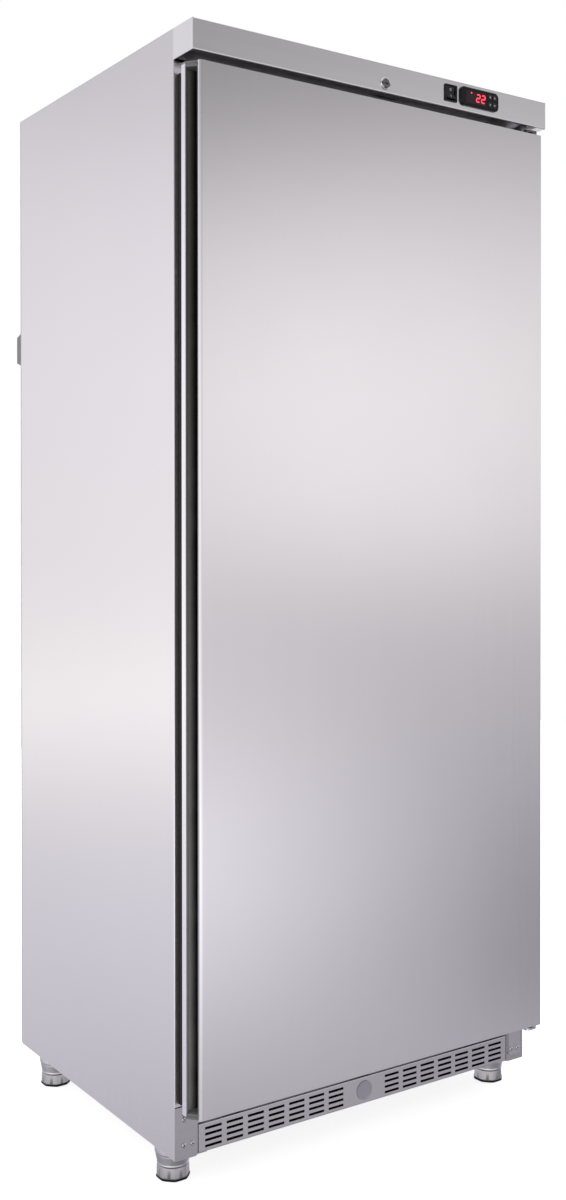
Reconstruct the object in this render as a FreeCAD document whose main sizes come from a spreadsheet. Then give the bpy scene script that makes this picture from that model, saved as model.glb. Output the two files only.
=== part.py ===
import FreeCAD, Part
import math
import os

import Sketcher
from FreeCAD import Placement, Rotation, Vector

# An upright freezer: one foamed cabinet, one door with a full-height grip channel on its left,
# a control fascia above the door and a kick grille below it.
# Frame: millimetres, +Z up, the front faces -Y, the origin is on the floor under the middle of
# the box round the freezer. Most sub-parts are drawn from the cabinet's own datum instead: its
# middle plane (x = 0), its front plane (y = 0, so the door and fascia have negative y) and the
# floor (z = 0), and their Placement carries that datum into the frame.

SIZES = (
    # cabinet
    ("cabinet_width", 777, "over both side panels"),
    ("cabinet_depth", 615, "front plane to back panel"),
    ("cabinet_top", 1895, "floor to top"),
    ("foot_height", 54, "floor to the cabinet's underside"),
    ("steel", 1, "outer sheet thickness"),
    ("bend", 2, "outside radius of a folded edge"),
    ("land", 43, "width of the front face beside the opening"),
    ("rear_flange", 15, "side panel's return at the back"),
    ("side_wall", 60, "side panel face to the inside of the liner"),
    ("top_wall", 109, "top to the inside of the liner"),
    ("floor_wall", 75, "foam and liner under the freezer compartment"),
    ("back_wall", 70, "back face to the inside of the liner"),
    ("step_wall", 50, "foam and liner round the machine bay"),
    ("liner_sheet", 2, "liner thickness"),
    ("liner_flange", 16, "liner's flange behind the trim"),
    ("liner_round", 11, "inner corner radius of the liner"),
    ("trim_cover", 17, "breaker trim's width on the front face"),
    ("trim_sheet", 2, "breaker trim's thickness"),
    ("trim_return", 14, "breaker trim's depth inside the opening"),
    ("trim_lip", 1.5, "thickness of that return"),
    ("plinth_height", 54, "cabinet's underside to the foam"),
    ("bay_front", 380, "front plane to the machine bay"),
    ("bay_height", 276, "cabinet's underside to the bay's ceiling"),
    ("spacer_depth", 18, "rear spacers behind the back panel"),
    ("spacer_width", 28, "rear spacer's width"),
    ("spacer_height", 63, "rear spacer's height"),
    ("spacer_level", 1410, "floor to the spacers"),
    # fascia and what is in it
    ("fascia_reach", 62, "fascia in front of the cabinet"),
    ("fascia_height", 50.6, "fascia front"),
    ("fascia_back_gap", 8, "fascia's lower return to the cabinet"),
    ("lock_rise", 15.4, "fascia's lower edge to the lock's axis"),
    ("lock_flange_radius", 11, "lock's front ring"),
    ("lock_flange_thick", 3, "lock's front ring"),
    ("lock_flange_bevel", 1, "lock's front ring"),
    ("lock_barrel_radius", 9.4, "lock's eight-sided barrel, to its flats"),
    ("lock_barrel_length", 20, "barrel behind the fascia's face"),
    ("lock_nut_flats", 24, "lock nut across its flats"),
    ("lock_nut_thick", 5, "lock nut"),
    ("thread_gap", 0.02, "a nut to the thread that it is on"),
    ("plug_radius", 7.45, "turning plug"),
    ("plug_proud", 1, "plug in front of its ring"),
    ("cam_length", 38, "lock's axis to the cam's tip"),
    ("cam_width", 12, "cam"),
    ("cam_thick", 2.5, "cam"),
    ("cam_room", 3, "clear way round the cam, along its slot"),
    ("cam_side_room", 2.5, "clear way beside the cam, across its slot"),
    ("cam_seat", 0.5, "lock's barrel to the cam"),
    ("keeper_length", 30, "lock's axis to the end of the door's slot"),
    ("cam_stub_radius", 4, "plug's stub through the cam"),
    ("cam_rivet_radius", 5.5, "plug's riveted end behind the cam"),
    ("cam_rivet_thick", 2, "plug's riveted end behind the cam"),
    ("keyhole_width", 1.8, "keyhole"),
    ("keyhole_height", 8, "keyhole"),
    ("keyhole_depth", 6, "keyhole"),
    ("switch_offset", 150.2, "middle of the freezer to the switch"),
    ("switch_rise", 26, "fascia's lower edge to the switch's middle"),
    ("switch_width", 29.2, "switch bezel"),
    ("switch_height", 30.4, "switch bezel"),
    ("switch_proud", 2, "switch bezel in front of the fascia"),
    ("switch_rim", 2, "bezel beyond the switch's case"),
    ("switch_case_depth", 24, "switch's case behind the fascia's face"),
    ("switch_wall", 2, "side wall of the switch's case"),
    ("switch_end_wall", 0.5, "end wall of the switch's case"),
    ("switch_corner", 1.5, "switch bezel's corners"),
    ("switch_well_depth", 18, "well for the rocker"),
    ("rocker_half", 11.4, "half the rocker's height"),
    ("rocker_tilt", 8, "degrees from the middle at rest"),
    ("rocker_back", 6.8, "half the height of the rocker's flat back"),
    ("rocker_sunk", 0.5, "middle of the rocker's face behind the fascia's"),
    ("rocker_valley", 5, "rocker's pivot to the middle of its face"),
    ("rocker_crest", 7.6, "rocker's pivot to the ends of its face"),
    ("rocker_play", 0.3, "rocker to the walls of its well"),
    ("trunnion_radius", 1.5, "rocker's side pivots"),
    ("trunnion_length", 1.1, "rocker's side pivots"),
    ("running_fit", 0.05, "radial clearance of what turns"),
    ("controller_offset", 218.3, "middle of the freezer to the controller"),
    ("controller_rise", 26.6, "fascia's lower edge to the controller's middle"),
    ("bezel_width", 93, "controller bezel"),
    ("bezel_height", 34, "controller bezel"),
    ("bezel_thick", 4.5, "controller bezel"),
    ("bezel_round", 9, "controller bezel's corners"),
    ("bezel_bevel", 1.5, "controller bezel's front edge"),
    ("case_width", 71, "controller case"),
    ("case_height", 29, "controller case"),
    ("case_depth", 50, "controller case behind the fascia's face"),
    ("window_left", 34, "bezel's middle to the window's left edge"),
    ("window_right", 16, "bezel's middle to the window's right edge"),
    ("window_height", 23, "display window"),
    ("window_thick", 1.2, "display window"),
    ("window_sunk", 0.4, "window behind the bezel's face"),
    ("button_offset", 24, "bezel's middle to the first button column"),
    ("button_pitch", 11, "button column to column"),
    ("button_rise", 7, "bezel's middle to a button row"),
    ("button_width", 8.6, "button"),
    ("button_height", 9.6, "button"),
    ("button_proud", 0.8, "button in front of the bezel"),
    ("button_corner", 1.5, "button's corners"),
    ("button_gap", 0.2, "pressed button to the fascia"),
    ("button_play", 0.3, "button to its well"),
    ("button_travel", 0.8, "button's press"),
    ("cut_play", 0.1, "a case in its cut-out"),
    # door
    ("door_left_gap", 0.8, "cabinet's left face to the door's"),
    ("door_right_gap", 8, "cabinet's right face to the door's"),
    ("door_top_gap", 13, "door to the fascia"),
    ("door_rise", 83, "cabinet's underside to the door's lower edge"),
    ("door_inset", 2, "door's front behind the fascia's"),
    ("door_thick", 37, "door skin, front to back"),
    ("door_return", 12, "skin's rear return"),
    ("lip_inset", 13.2, "door's left edge to the grip lip"),
    ("lip_round", 5, "outside radius of the grip lip"),
    ("lip_depth", 8, "grip lip, front to back"),
    ("lip_hem", 20, "lip's return"),
    ("grip_width", 54, "door's left edge to the grip channel's end"),
    ("grip_wall", 2, "grip channel's wall"),
    ("grip_floor", 4, "door skin's back to the grip channel's back wall"),
    ("grip_slope", 11, "width of the channel's sloping entry"),
    ("edge_strip_depth", 13, "edge strip, front to back"),
    ("edge_strip_return", 19, "edge strip's return"),
    ("cap_plate", 3, "grip channel end cap's plate"),
    ("cap_plug", 5, "grip channel end cap's plug"),
    ("panel_inset", 9, "door's edges to its inner panel"),
    ("panel_rim", 6, "inner panel's rim, front to back"),
    ("panel_sheet", 2, "inner panel's thickness"),
    ("bulge_depth", 20, "inner panel's raised middle"),
    ("bulge_gap", 10, "liner to the raised middle"),
    ("bulge_round", 10, "corners of the raised middle and its recesses"),
    ("bulge_bevel", 5, "edge of the raised middle"),
    ("recess_count", 3, "recesses in the raised middle"),
    ("recess_margin", 45, "round and between the recesses"),
    ("recess_depth", 5, "recesses in the raised middle"),
    ("gasket_inset", 8.2, "door's edges to the gasket"),
    ("gasket_hinge_inset", 21, "door's hinge edge to the gasket"),
    ("gasket_width", 20, "gasket"),
    ("gasket_clear", 0.3, "gasket to the cabinet"),
    ("gasket_chamfer", 5, "gasket's outer rear edge"),
    # hinges
    ("pin_inset", 28, "cabinet's right face to the hinge axis"),
    ("pin_reach", 43, "cabinet's front plane to the hinge axis"),
    ("pin_radius", 4, "hinge pin"),
    ("pin_length", 16, "hinge pin inside the door"),
    ("pin_head_radius", 6, "hinge pin's head"),
    ("pin_head_thick", 3, "hinge pin's head"),
    ("bush_radius", 7, "eight-sided hinge bush in the door, to its flats"),
    ("bush_flange_radius", 11, "hinge bush's flange, to its flats"),
    ("bush_length", 20, "hinge bush inside the door"),
    ("hinge_plate", 4, "hinge plates' thickness"),
    ("hinge_gap", 4, "door to the hinge plates"),
    ("hinge_clear", 0.3, "bush flange to the hinge plate"),
    ("hinge_nose", 13, "hinge axis to the plates' front edges"),
    ("hinge_side", 19, "hinge axis to the plates' outer edges"),
    ("hinge_width", 30, "hinge plates along the door"),
    ("hinge_leg", 42, "top hinge's leg behind the fascia"),
    ("hinge_leg_thick", 3, "hinge plates' upright legs"),
    ("hinge_screw_drop", 8, "top of the leg to its upper screw"),
    ("hinge_screw_pitch", 18, "top hinge's screw to screw"),
    ("hinge_foot", 67, "bottom hinge's leg on the corner plate"),
    # base
    ("corner_thick", 2, "corner plate's thickness"),
    ("corner_height", 86.7, "corner plate"),
    ("corner_round", 5, "corner plate's lower inner corner"),
    ("screw_inset", 16.7, "cabinet's side to the outer screws"),
    ("screw_pitch_across", 16.2, "corner screw to corner screw"),
    ("screw_low", 23, "cabinet's underside to the lower screws"),
    ("screw_pitch_up", 42.2, "lower screws to the upper ones"),
    ("screw_radius", 2.1, "screw shank"),
    ("screw_play", 0.1, "shank in its hole"),
    ("screw_head_radius", 4.3, "screw head"),
    ("screw_head_thick", 2, "screw head"),
    ("grille_gap", 1.5, "corner plate to the grille"),
    ("grille_low", 2.6, "cabinet's underside to the grille"),
    ("grille_height", 47.9, "grille"),
    ("grille_return", 14, "grille's folded edges"),
    ("slot_width", 32.4, "grille slot"),
    ("slot_height", 4.4, "grille slot"),
    ("slot_pitch", 42.1, "slot column to slot column"),
    ("slot_row_pitch", 9.8, "slot row to slot row"),
    ("slot_columns", 7, "slot columns on each side"),
    ("slot_rows", 4, "slot rows"),
    ("slot_first", 12.4, "grille's end to the first slot"),
    ("slot_low", 6.5, "grille's lower edge to the lowest slots"),
    ("cap_radius", 17, "grille's centre cap"),
    ("cap_thick", 1.4, "grille's centre cap"),
    ("cap_stem_radius", 6, "grille's centre cap"),
    ("tab_width", 40, "grille's fixing tabs"),
    ("tab_offset", 270, "middle plane to the middle of an outer tab"),
    ("tab_reach", 18, "fixing tabs under the pan"),
    ("rail_width", 62, "base rail"),
    ("rail_steel", 2, "base rail's thickness"),
    ("rail_end_gap", 2, "base rail to the front sheet and the rear cover"),
    ("foot_inset", 32, "cabinet's side to a foot's axis"),
    ("foot_front", 61, "front plane to the front feet"),
    ("foot_back", 91, "back panel to the rear feet"),
    ("sleeve_radius", 31, "foot sleeve at its top"),
    ("sleeve_low_radius", 27.5, "foot sleeve at its lower end"),
    ("sleeve_straight", 14, "foot sleeve's straight upper part"),
    ("sleeve_height", 31, "foot sleeve"),
    ("sleeve_wall", 3, "foot sleeve's wall and top"),
    ("foot_across", 53, "octagonal foot, across its flats"),
    ("foot_flare", 1, "foot's base beyond its sides"),
    ("foot_base", 5, "foot's base"),
    ("foot_seam", 0.4, "foot to its sleeve at rest"),
    ("stem_radius", 5, "foot's threaded stem"),
    ("stem_above", 9, "stem above the rail's flange"),
    ("stem_play", 0.1, "stem in its holes"),
    ("foot_nut_flats", 17, "foot nut"),
    ("foot_nut_thick", 6, "foot nut"),
    # rear
    ("cover_rise", 2, "cabinet's underside to the rear cover"),
    ("cover_slot_width", 150, "rear cover's slots"),
    ("cover_slot_height", 5, "rear cover's slots"),
    ("cover_slot_pitch", 22, "rear cover's slot rows"),
    ("cover_slot_rows", 7, "rear cover's slot rows"),
    ("cover_column_pitch", 200, "rear cover's slot columns"),
    ("cover_slot_low", 50, "rear cover's lower edge to its slots"),
    # machine bay
    ("plate_steel", 2, "machine plate"),
    ("plate_lap", 12, "machine plate on the rail's flange"),
    ("plate_gap", 5, "machine plate to the bay's front wall"),
    ("plate_depth", 215, "machine plate"),
    ("plate_edge", 15, "machine plate's folded edges"),
    ("compressor_offset", 165, "middle plane to the compressor, on the left"),
    ("compressor_back", 112, "back panel to the compressor's axis"),
    ("compressor_radius", 78, "compressor shell"),
    ("compressor_height", 165, "compressor shell"),
    ("compressor_dome", 45, "compressor shell's rounded ends"),
    ("compressor_seam", 3, "compressor shell's welded seam"),
    ("mount_height", 12, "rubber mounts"),
    ("mount_radius", 10, "rubber mounts"),
    ("mount_spread_x", 76, "compressor's axis to its mounts, across"),
    ("mount_spread_y", 60, "compressor's axis to its mounts, along"),
    ("feet_sheet", 3, "compressor's foot plate"),
    ("feet_margin", 12, "foot plate round a mount's axis"),
    ("terminal_width", 54, "terminal cover"),
    ("terminal_height", 62, "terminal cover"),
    ("terminal_depth", 26, "terminal cover"),
    ("condenser_left", 40, "middle plane to the condenser"),
    ("condenser_width", 230, "condenser"),
    ("condenser_height", 170, "condenser"),
    ("condenser_depth", 44, "condenser"),
    ("fin_count", 10, "condenser fins"),
    ("fin_thick", 1, "condenser fins"),
    ("pass_count", 4, "condenser tube passes"),
    ("pass_reach", 16, "condenser tube's bends beyond the fins"),
    ("pass_radius", 4, "condenser tube"),
    ("shroud_thick", 2, "fan shroud"),
    ("shroud_ring", 22, "depth of the shroud's ring"),
    ("fan_opening", 78, "radius of the shroud's opening"),
    ("blade_reach", 72, "fan's axis to a blade's end"),
    ("hub_radius", 20, "fan hub"),
    ("hub_depth", 16, "fan hub"),
    ("blade_count", 5, "fan blades"),
    ("blade_width", 40, "fan blade"),
    ("blade_thick", 1.5, "fan blade"),
    ("blade_pitch", 25, "degrees of blade pitch"),
    ("motor_radius", 31, "fan motor"),
    ("motor_length", 42, "fan motor"),
    ("shaft_radius", 3, "fan motor's shaft"),
    ("shaft_inside", 34, "fan shaft inside its motor"),
    ("arm_width", 12, "motor bracket's arms"),
    ("arm_lap", 1, "motor bracket's arms into the shroud's ring"),
    # shelves
    ("shelf_count", 6, "evaporator shelves"),
    ("shelf_first", 18, "liner's step to the first shelf"),
    ("shelf_pitch", 231, "shelf to shelf"),
    ("coil_radius", 4, "evaporator tube"),
    ("coil_runs", 8, "evaporator tube runs in a shelf"),
    ("coil_pitch", 86, "tube run to tube run"),
    ("coil_mitre", 22, "corner cut off a tube bend"),
    ("coil_front", 44, "front plane to the tube's front bends"),
    ("coil_back_gap", 24, "liner's back to the tube's rear bends"),
    ("wire_width", 3, "shelf wire"),
    ("wire_count", 16, "wires in a shelf"),
    ("wire_margin", 16, "tube bends to the first and last wires"),
    ("wire_overhang", 13, "wires beyond the outer tube runs"),
    ("bearer_lap", 30, "shelf bearer's ledge"),
    ("bearer_rise", 18, "shelf bearer's upright leg"),
    ("bearer_steel", 2, "shelf bearer"),
    ("bearer_inset", 26, "shelf bearer to the coil's ends"),
)

doc = FreeCAD.newDocument("UprightFreezer")
sheet = doc.addObject("Spreadsheet::Sheet", "Sizes")
places = doc.addObject("App::VarSet", "Places")


class Dim:
    """A size that the sheet drives: its value now, and the expression that keeps it."""

    def __init__(self, value, text):
        self.value = float(value)
        self.text = text

    def joined(self, sign, other, value):
        return Dim(value, f"({self.text} {sign} {dim(other).text})")

    def __add__(self, other):
        return self.joined("+", other, self.value + dim(other).value)

    def __sub__(self, other):
        return self.joined("-", other, self.value - dim(other).value)

    def __mul__(self, other):
        return self.joined("*", other, self.value * dim(other).value)

    def __truediv__(self, other):
        return self.joined("/", other, self.value / dim(other).value)

    def __radd__(self, other):
        return dim(other) + self

    def __rsub__(self, other):
        return dim(other) - self

    def __rmul__(self, other):
        return dim(other) * self

    def __neg__(self):
        return Dim(-self.value, f"(0 - {self.text})")

    def __int__(self):
        return round(self.value)


def dim(value):
    """A plain number as a Dim, and a Dim as it is."""
    return value if isinstance(value, Dim) else Dim(value, repr(float(value)))


def named(name, value):
    """Keep a worked-out place under a name of its own, so that other expressions stay short."""
    places.addProperty("App::PropertyFloat", name)
    places.setExpression(name, dim(value).text)
    return Dim(dim(value).value, f"Places.{name}")


class Sizes:
    """The driving sizes, each as an attribute with the name that the sheet gives it."""

    def __init__(self, rows):
        for number, (name, value, meaning) in enumerate(rows, start=1):
            sheet.set(f"A{number}", name)
            sheet.set(f"B{number}", str(value))
            sheet.setAlias(f"B{number}", name)
            sheet.set(f"C{number}", meaning)
            setattr(self, name, Dim(value, f"Sizes.{name}"))


size = Sizes(SIZES)
doc.recompute()


def bind(thing, name, value):
    """Set a property to a size and keep it there with the size's expression."""
    thing.setExpression(name, dim(value).text)


# Places that several sub-parts share, from the cabinet's datum.
HALF = named("half_width", size.cabinet_width / 2)
FOREMOST = named("foremost", size.fascia_reach + size.bezel_thick + size.button_proud)
FRONT_PLANE = named("front_plane", (FOREMOST - size.cabinet_depth - size.spacer_depth) / 2)
INNER_HALF = named("opening_half_width", HALF - size.side_wall)
OPEN_TOP = named("opening_top", size.cabinet_top - size.top_wall)
FOAM_BOTTOM = named("foam_bottom", size.foot_height + size.plinth_height)
OPEN_BOTTOM = named("opening_bottom", FOAM_BOTTOM + size.floor_wall)
OPEN_BACK = named("opening_back", size.cabinet_depth - size.back_wall)
BAY_TOP = named("bay_top", size.foot_height + size.bay_height)
STEP_FRONT = named("step_front", size.bay_front - size.step_wall)
STEP_TOP = named("step_top", BAY_TOP + size.step_wall)
BACK_SHEET = named("back_sheet", size.cabinet_depth - size.steel)
FASCIA_BOTTOM = named("fascia_bottom", size.cabinet_top - size.fascia_height)
FASCIA_FRONT = named("fascia_front", -size.fascia_reach)
DOOR_LEFT = named("door_left", size.door_left_gap - HALF)
DOOR_RIGHT = named("door_right", HALF - size.door_right_gap)
DOOR_TOP = named("door_top", FASCIA_BOTTOM - size.door_top_gap)
DOOR_BOTTOM = named("door_bottom", size.foot_height + size.door_rise)
DOOR_FRONT = named("door_front", size.door_inset - size.fascia_reach)
DOOR_BACK = named("door_back", DOOR_FRONT + size.door_thick)
PIN_X = named("pin_x", HALF - size.pin_inset)
PIN_Y = named("pin_y", -size.pin_reach)
LOCK_Z = named("lock_z", FASCIA_BOTTOM + size.lock_rise)
BARREL_END = named("barrel_end", FASCIA_FRONT + size.lock_barrel_length)
CAM_BACK = named("cam_back", BARREL_END + size.cam_seat + size.cam_thick)
SLOT_FRONT = named("slot_front", CAM_BACK - size.cam_thick - size.cam_side_room)
SLOT_BACK = named("slot_back", CAM_BACK + size.cam_side_room)


class Outline:
    """A closed outline of straight edges. A point is (x, y), or (x, y, radius) when rounded."""

    def __init__(self, *points):
        self.points = [tuple(dim(value) for value in point) for point in points]

    def draw(self, sketch):
        points = self.points
        count = len(points)
        spots = [Vector(point[0].value, point[1].value, 0) for point in points]
        corners = [self.corner(number, spots) for number in range(count)]
        rules = []
        names = []
        lines = []
        for number in range(count):
            start = corners[number][1]
            end = corners[(number + 1) % count][0]
            lines.append(sketch.addGeometry(Part.LineSegment(start, end)))
        for number, point in enumerate(points):
            before = lines[number - 1]
            after = lines[number]
            if len(point) == 2:
                rules.append(Sketcher.Constraint("Coincident", before, 2, after, 1))
                names.append(None)
                held, place = after, 1
            else:
                held = sketch.addGeometry(Part.Point(spots[number]), True)
                place = 1
                _, _, arc, forward = corners[number]
                bend = sketch.addGeometry(arc)
                first, last = (1, 2) if forward else (2, 1)
                rules.append(Sketcher.Constraint("Tangent", before, 2, bend, first))
                rules.append(Sketcher.Constraint("Tangent", bend, last, after, 1))
                rules.append(Sketcher.Constraint("PointOnObject", held, 1, before))
                rules.append(Sketcher.Constraint("PointOnObject", held, 1, after))
                rules.append(Sketcher.Constraint("Radius", bend, point[2].value))
                names += [None, None, None, None, point[2]]
            for kind, value in (("DistanceX", point[0]), ("DistanceY", point[1])):
                rules.append(Sketcher.Constraint(kind, held, place, value.value))
                names.append(value)
        constrain(sketch, rules, names)

    def corner(self, number, spots):
        """Where the edges before and after a point end, with the arc between them if any."""
        point = self.points[number]
        spot = spots[number]
        if len(point) == 2:
            return spot, spot
        back = (spots[number - 1] - spot).normalize()
        ahead = (spots[(number + 1) % len(spots)] - spot).normalize()
        half_angle = back.getAngle(ahead) / 2
        reach = point[2].value / math.tan(half_angle)
        middle = (back + ahead).normalize()
        centre = spot + middle * (point[2].value / math.sin(half_angle))
        start = spot + back * reach
        end = spot + ahead * reach
        forward = back.cross(ahead).z < 0
        first, last = (start, end) if forward else (end, start)
        turns = [math.atan2(*reversed((p - centre)[:2])) for p in (first, last)]
        circle = Part.Circle(centre, Vector(0, 0, 1), point[2].value)
        return start, end, Part.ArcOfCircle(circle, turns[0], turns[1]), forward


class Path:
    """An open path of straight runs through points (x, y)."""

    def __init__(self, *points):
        self.points = [tuple(dim(value) for value in point) for point in points]
        self.runs = len(points) - 1

    def draw(self, sketch):
        spots = [Vector(x.value, y.value, 0) for x, y in self.points]
        lines = [sketch.addGeometry(Part.LineSegment(*pair)) for pair in zip(spots, spots[1:])]
        rules = []
        names = []
        for before, after in zip(lines, lines[1:]):
            rules.append(Sketcher.Constraint("Coincident", before, 2, after, 1))
            names.append(None)
        held = [(line, 1) for line in lines] + [(lines[-1], 2)]
        for (line, end), (x, y) in zip(held, self.points):
            rules.append(Sketcher.Constraint("DistanceX", line, end, x.value))
            rules.append(Sketcher.Constraint("DistanceY", line, end, y.value))
            names += [x, y]
        constrain(sketch, rules, names)


class Ring:
    """A circle."""

    def __init__(self, x, y, radius):
        self.place = (dim(x), dim(y), dim(radius))

    def draw(self, sketch):
        x, y, radius = self.place
        circle = Part.Circle(Vector(x.value, y.value, 0), Vector(0, 0, 1), radius.value)
        ring = sketch.addGeometry(circle)
        rules = [
            Sketcher.Constraint("DistanceX", ring, 3, x.value),
            Sketcher.Constraint("DistanceY", ring, 3, y.value),
            Sketcher.Constraint("Radius", ring, radius.value),
        ]
        constrain(sketch, rules, [x, y, radius])


def constrain(sketch, rules, values):
    """Add constraints, and bind each that has a value from the sheet."""
    first = sketch.ConstraintCount
    sketch.addConstraint(rules)
    for number, value in enumerate(values, start=first):
        if value is not None and "." in value.text and "s." in value.text:
            sketch.renameConstraint(number, f"size_{number}")
            bind(sketch, f"Constraints.size_{number}", value)


def box(left, low, right, high, radius=None):
    """A rectangle from one corner to the other, rounded if a radius is given."""
    corners = ((left, low), (right, low), (right, high), (left, high))
    if radius is None:
        return Outline(*corners)
    return Outline(*(corner + (radius,) for corner in corners))


def clipped_box(left, low, right, high, corner):
    """A rectangle with its corners cut off by the given length along each edge."""
    return Outline(
        (left + corner, low),
        (right - corner, low),
        (right, low + corner),
        (right, high - corner),
        (right - corner, high),
        (left + corner, high),
        (left, high - corner),
        (left, low + corner),
    )


def polygon(x, y, radius, sides):
    """A regular outline with a flat facing +X, by its middle's distance to the flats."""
    step = math.pi / sides
    reach = dim(radius) / math.cos(step)
    turns = [step * (2 * number + 1) for number in range(sides)]
    return Outline(*((x + reach * math.cos(turn), y + reach * math.sin(turn)) for turn in turns))


PIECES = []


class Piece:
    """One physical piece: a body with a label of its own, placed from the cabinet's datum."""

    def __init__(self, label, x=0, y=0, z=0, lean_back=None):
        self.body = doc.addObject("PartDesign::Body", label)
        self.body.Label = label
        self.body.AllowCompound = True
        if lean_back is not None:
            turn = Rotation(Vector(-1, 0, 0), lean_back.value)
            self.body.Placement = Placement(Vector(), turn)
            bind(self.body, "Placement.Rotation.Angle", lean_back)
        bind(self.body, "Placement.Base.x", dim(x))
        bind(self.body, "Placement.Base.y", FRONT_PLANE + y)
        bind(self.body, "Placement.Base.z", dim(z))
        PIECES.append(self.body)

    def sketch(self, plane, outlines, offset):
        sketch = self.body.newObject("Sketcher::SketchObject", "Outline")
        planes = self.body.Origin.OriginFeatures
        support = next(item for item in planes if item.Role == f"{plane}_Plane")
        sketch.AttachmentSupport = [(support, "")]
        sketch.MapMode = "FlatFace"
        bind(sketch, "AttachmentOffset.Base.z", offset)
        for outline in outlines:
            outline.draw(sketch)
        return sketch

    def pad(self, plane, low, high, *outlines):
        """Add the outlines' material from low to high along the axis square to the plane."""
        start = -dim(high) if plane == "XZ" else dim(low)
        feature = self.body.newObject("PartDesign::Pad", "Pad")
        feature.Profile = self.sketch(plane, outlines, start)
        bind(feature, "Length", dim(high) - low)
        self.body.Tip = feature
        return self

    def cut(self, plane, low, high, *outlines):
        """Take the outlines' material away from low to high along that axis."""
        start = -dim(low) if plane == "XZ" else dim(high)
        feature = self.body.newObject("PartDesign::Pocket", "Pocket")
        feature.Profile = self.sketch(plane, outlines, start)
        bind(feature, "Length", dim(high) - low)
        self.body.Tip = feature
        return self

    def revolve(self, outline, x=0, y=0):
        """Turn an outline of radii and heights round the vertical axis at x, y."""
        feature = self.body.newObject("PartDesign::Revolution", "Revolution")
        sketch = self.sketch("XZ", [outline], -dim(y))
        bind(sketch, "AttachmentOffset.Base.x", x)
        feature.Profile = sketch
        feature.ReferenceAxis = (sketch, ["V_Axis"])
        feature.Angle = 360
        self.body.Tip = feature
        return self

    def loft(self, low, lower, high, upper):
        """Join an outline at one height to another at a greater height with flat faces."""
        feature = self.body.newObject("PartDesign::AdditiveLoft", "Loft")
        feature.Profile = self.sketch("XY", [lower], dim(low))
        feature.Sections = [self.sketch("XY", [upper], dim(high))]
        feature.Ruled = True
        self.body.Tip = feature
        return self

    def sweep(self, plane, outline, start, path):
        """Carry an outline, square to the path's first run, along a path with mitred corners."""
        feature = self.body.newObject("PartDesign::AdditivePipe", "Pipe")
        route = self.sketch("XY", [path], dim(0))
        feature.Profile = self.sketch(plane, [outline], -dim(start))
        feature.Spine = (route, [f"Edge{number + 1}" for number in range(path.runs)])
        feature.Transition = "Right corner"
        self.body.Tip = feature
        return self

    def repeat(self, axis, pitch, count, backwards=False):
        """Repeat the last feature along an axis of the body."""
        last = self.body.Tip
        feature = self.body.newObject("PartDesign::LinearPattern", "Row")
        feature.Originals = [last]
        planes = self.body.Origin.OriginFeatures
        line = next(item for item in planes if item.Role == f"{axis}_Axis")
        feature.Direction = (line, [""])
        feature.Reversed = backwards
        bind(feature, "Length", dim(pitch) * (dim(count) - 1))
        bind(feature, "Occurrences", dim(count))
        self.body.Tip = feature
        return self

    def spin(self, axis, count):
        """Repeat the last feature evenly round an axis of the body."""
        last = self.body.Tip
        feature = self.body.newObject("PartDesign::PolarPattern", "Round")
        feature.Originals = [last]
        planes = self.body.Origin.OriginFeatures
        line = next(item for item in planes if item.Role == f"{axis}_Axis")
        feature.Axis = (line, [""])
        feature.Angle = 360
        bind(feature, "Occurrences", dim(count))
        self.body.Tip = feature
        return self

    def dress(self, kind, amount, wanted):
        """Fillet or chamfer the edges whose middle point the given test accepts."""
        doc.recompute()
        last = self.body.Tip
        names = []
        for number, edge in enumerate(last.Shape.Edges, start=1):
            middle = edge.valueAt((edge.FirstParameter + edge.LastParameter) / 2)
            if wanted(middle, edge):
                names.append(f"Edge{number}")
        feature = self.body.newObject(f"PartDesign::{kind}", kind)
        feature.Base = (last, names)
        bind(feature, "Radius" if kind == "Fillet" else "Size", amount)
        self.body.Tip = feature
        return self


SCREWS = Piece("screws")


def near(value, target):
    """Whether a coordinate is at a size, to a hundredth of a millimetre."""
    return abs(value - dim(target).value) < 0.01


HANDS = (("left", -1), ("right", 1))


def screw_holes(spots):
    """Six-sided clearance holes for screws."""
    return [polygon(x, z, size.screw_radius + size.screw_play, 6) for x, z in spots]


def corner_screws():
    """Where a corner plate's four screws are: offsets from the middle plane, and heights."""
    outer = HALF - size.screw_inset
    across = (outer, outer - size.screw_pitch_across)
    low = size.foot_height + size.screw_low
    return [(x, z) for x in across for z in (low, low + size.screw_pitch_up)]


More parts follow.
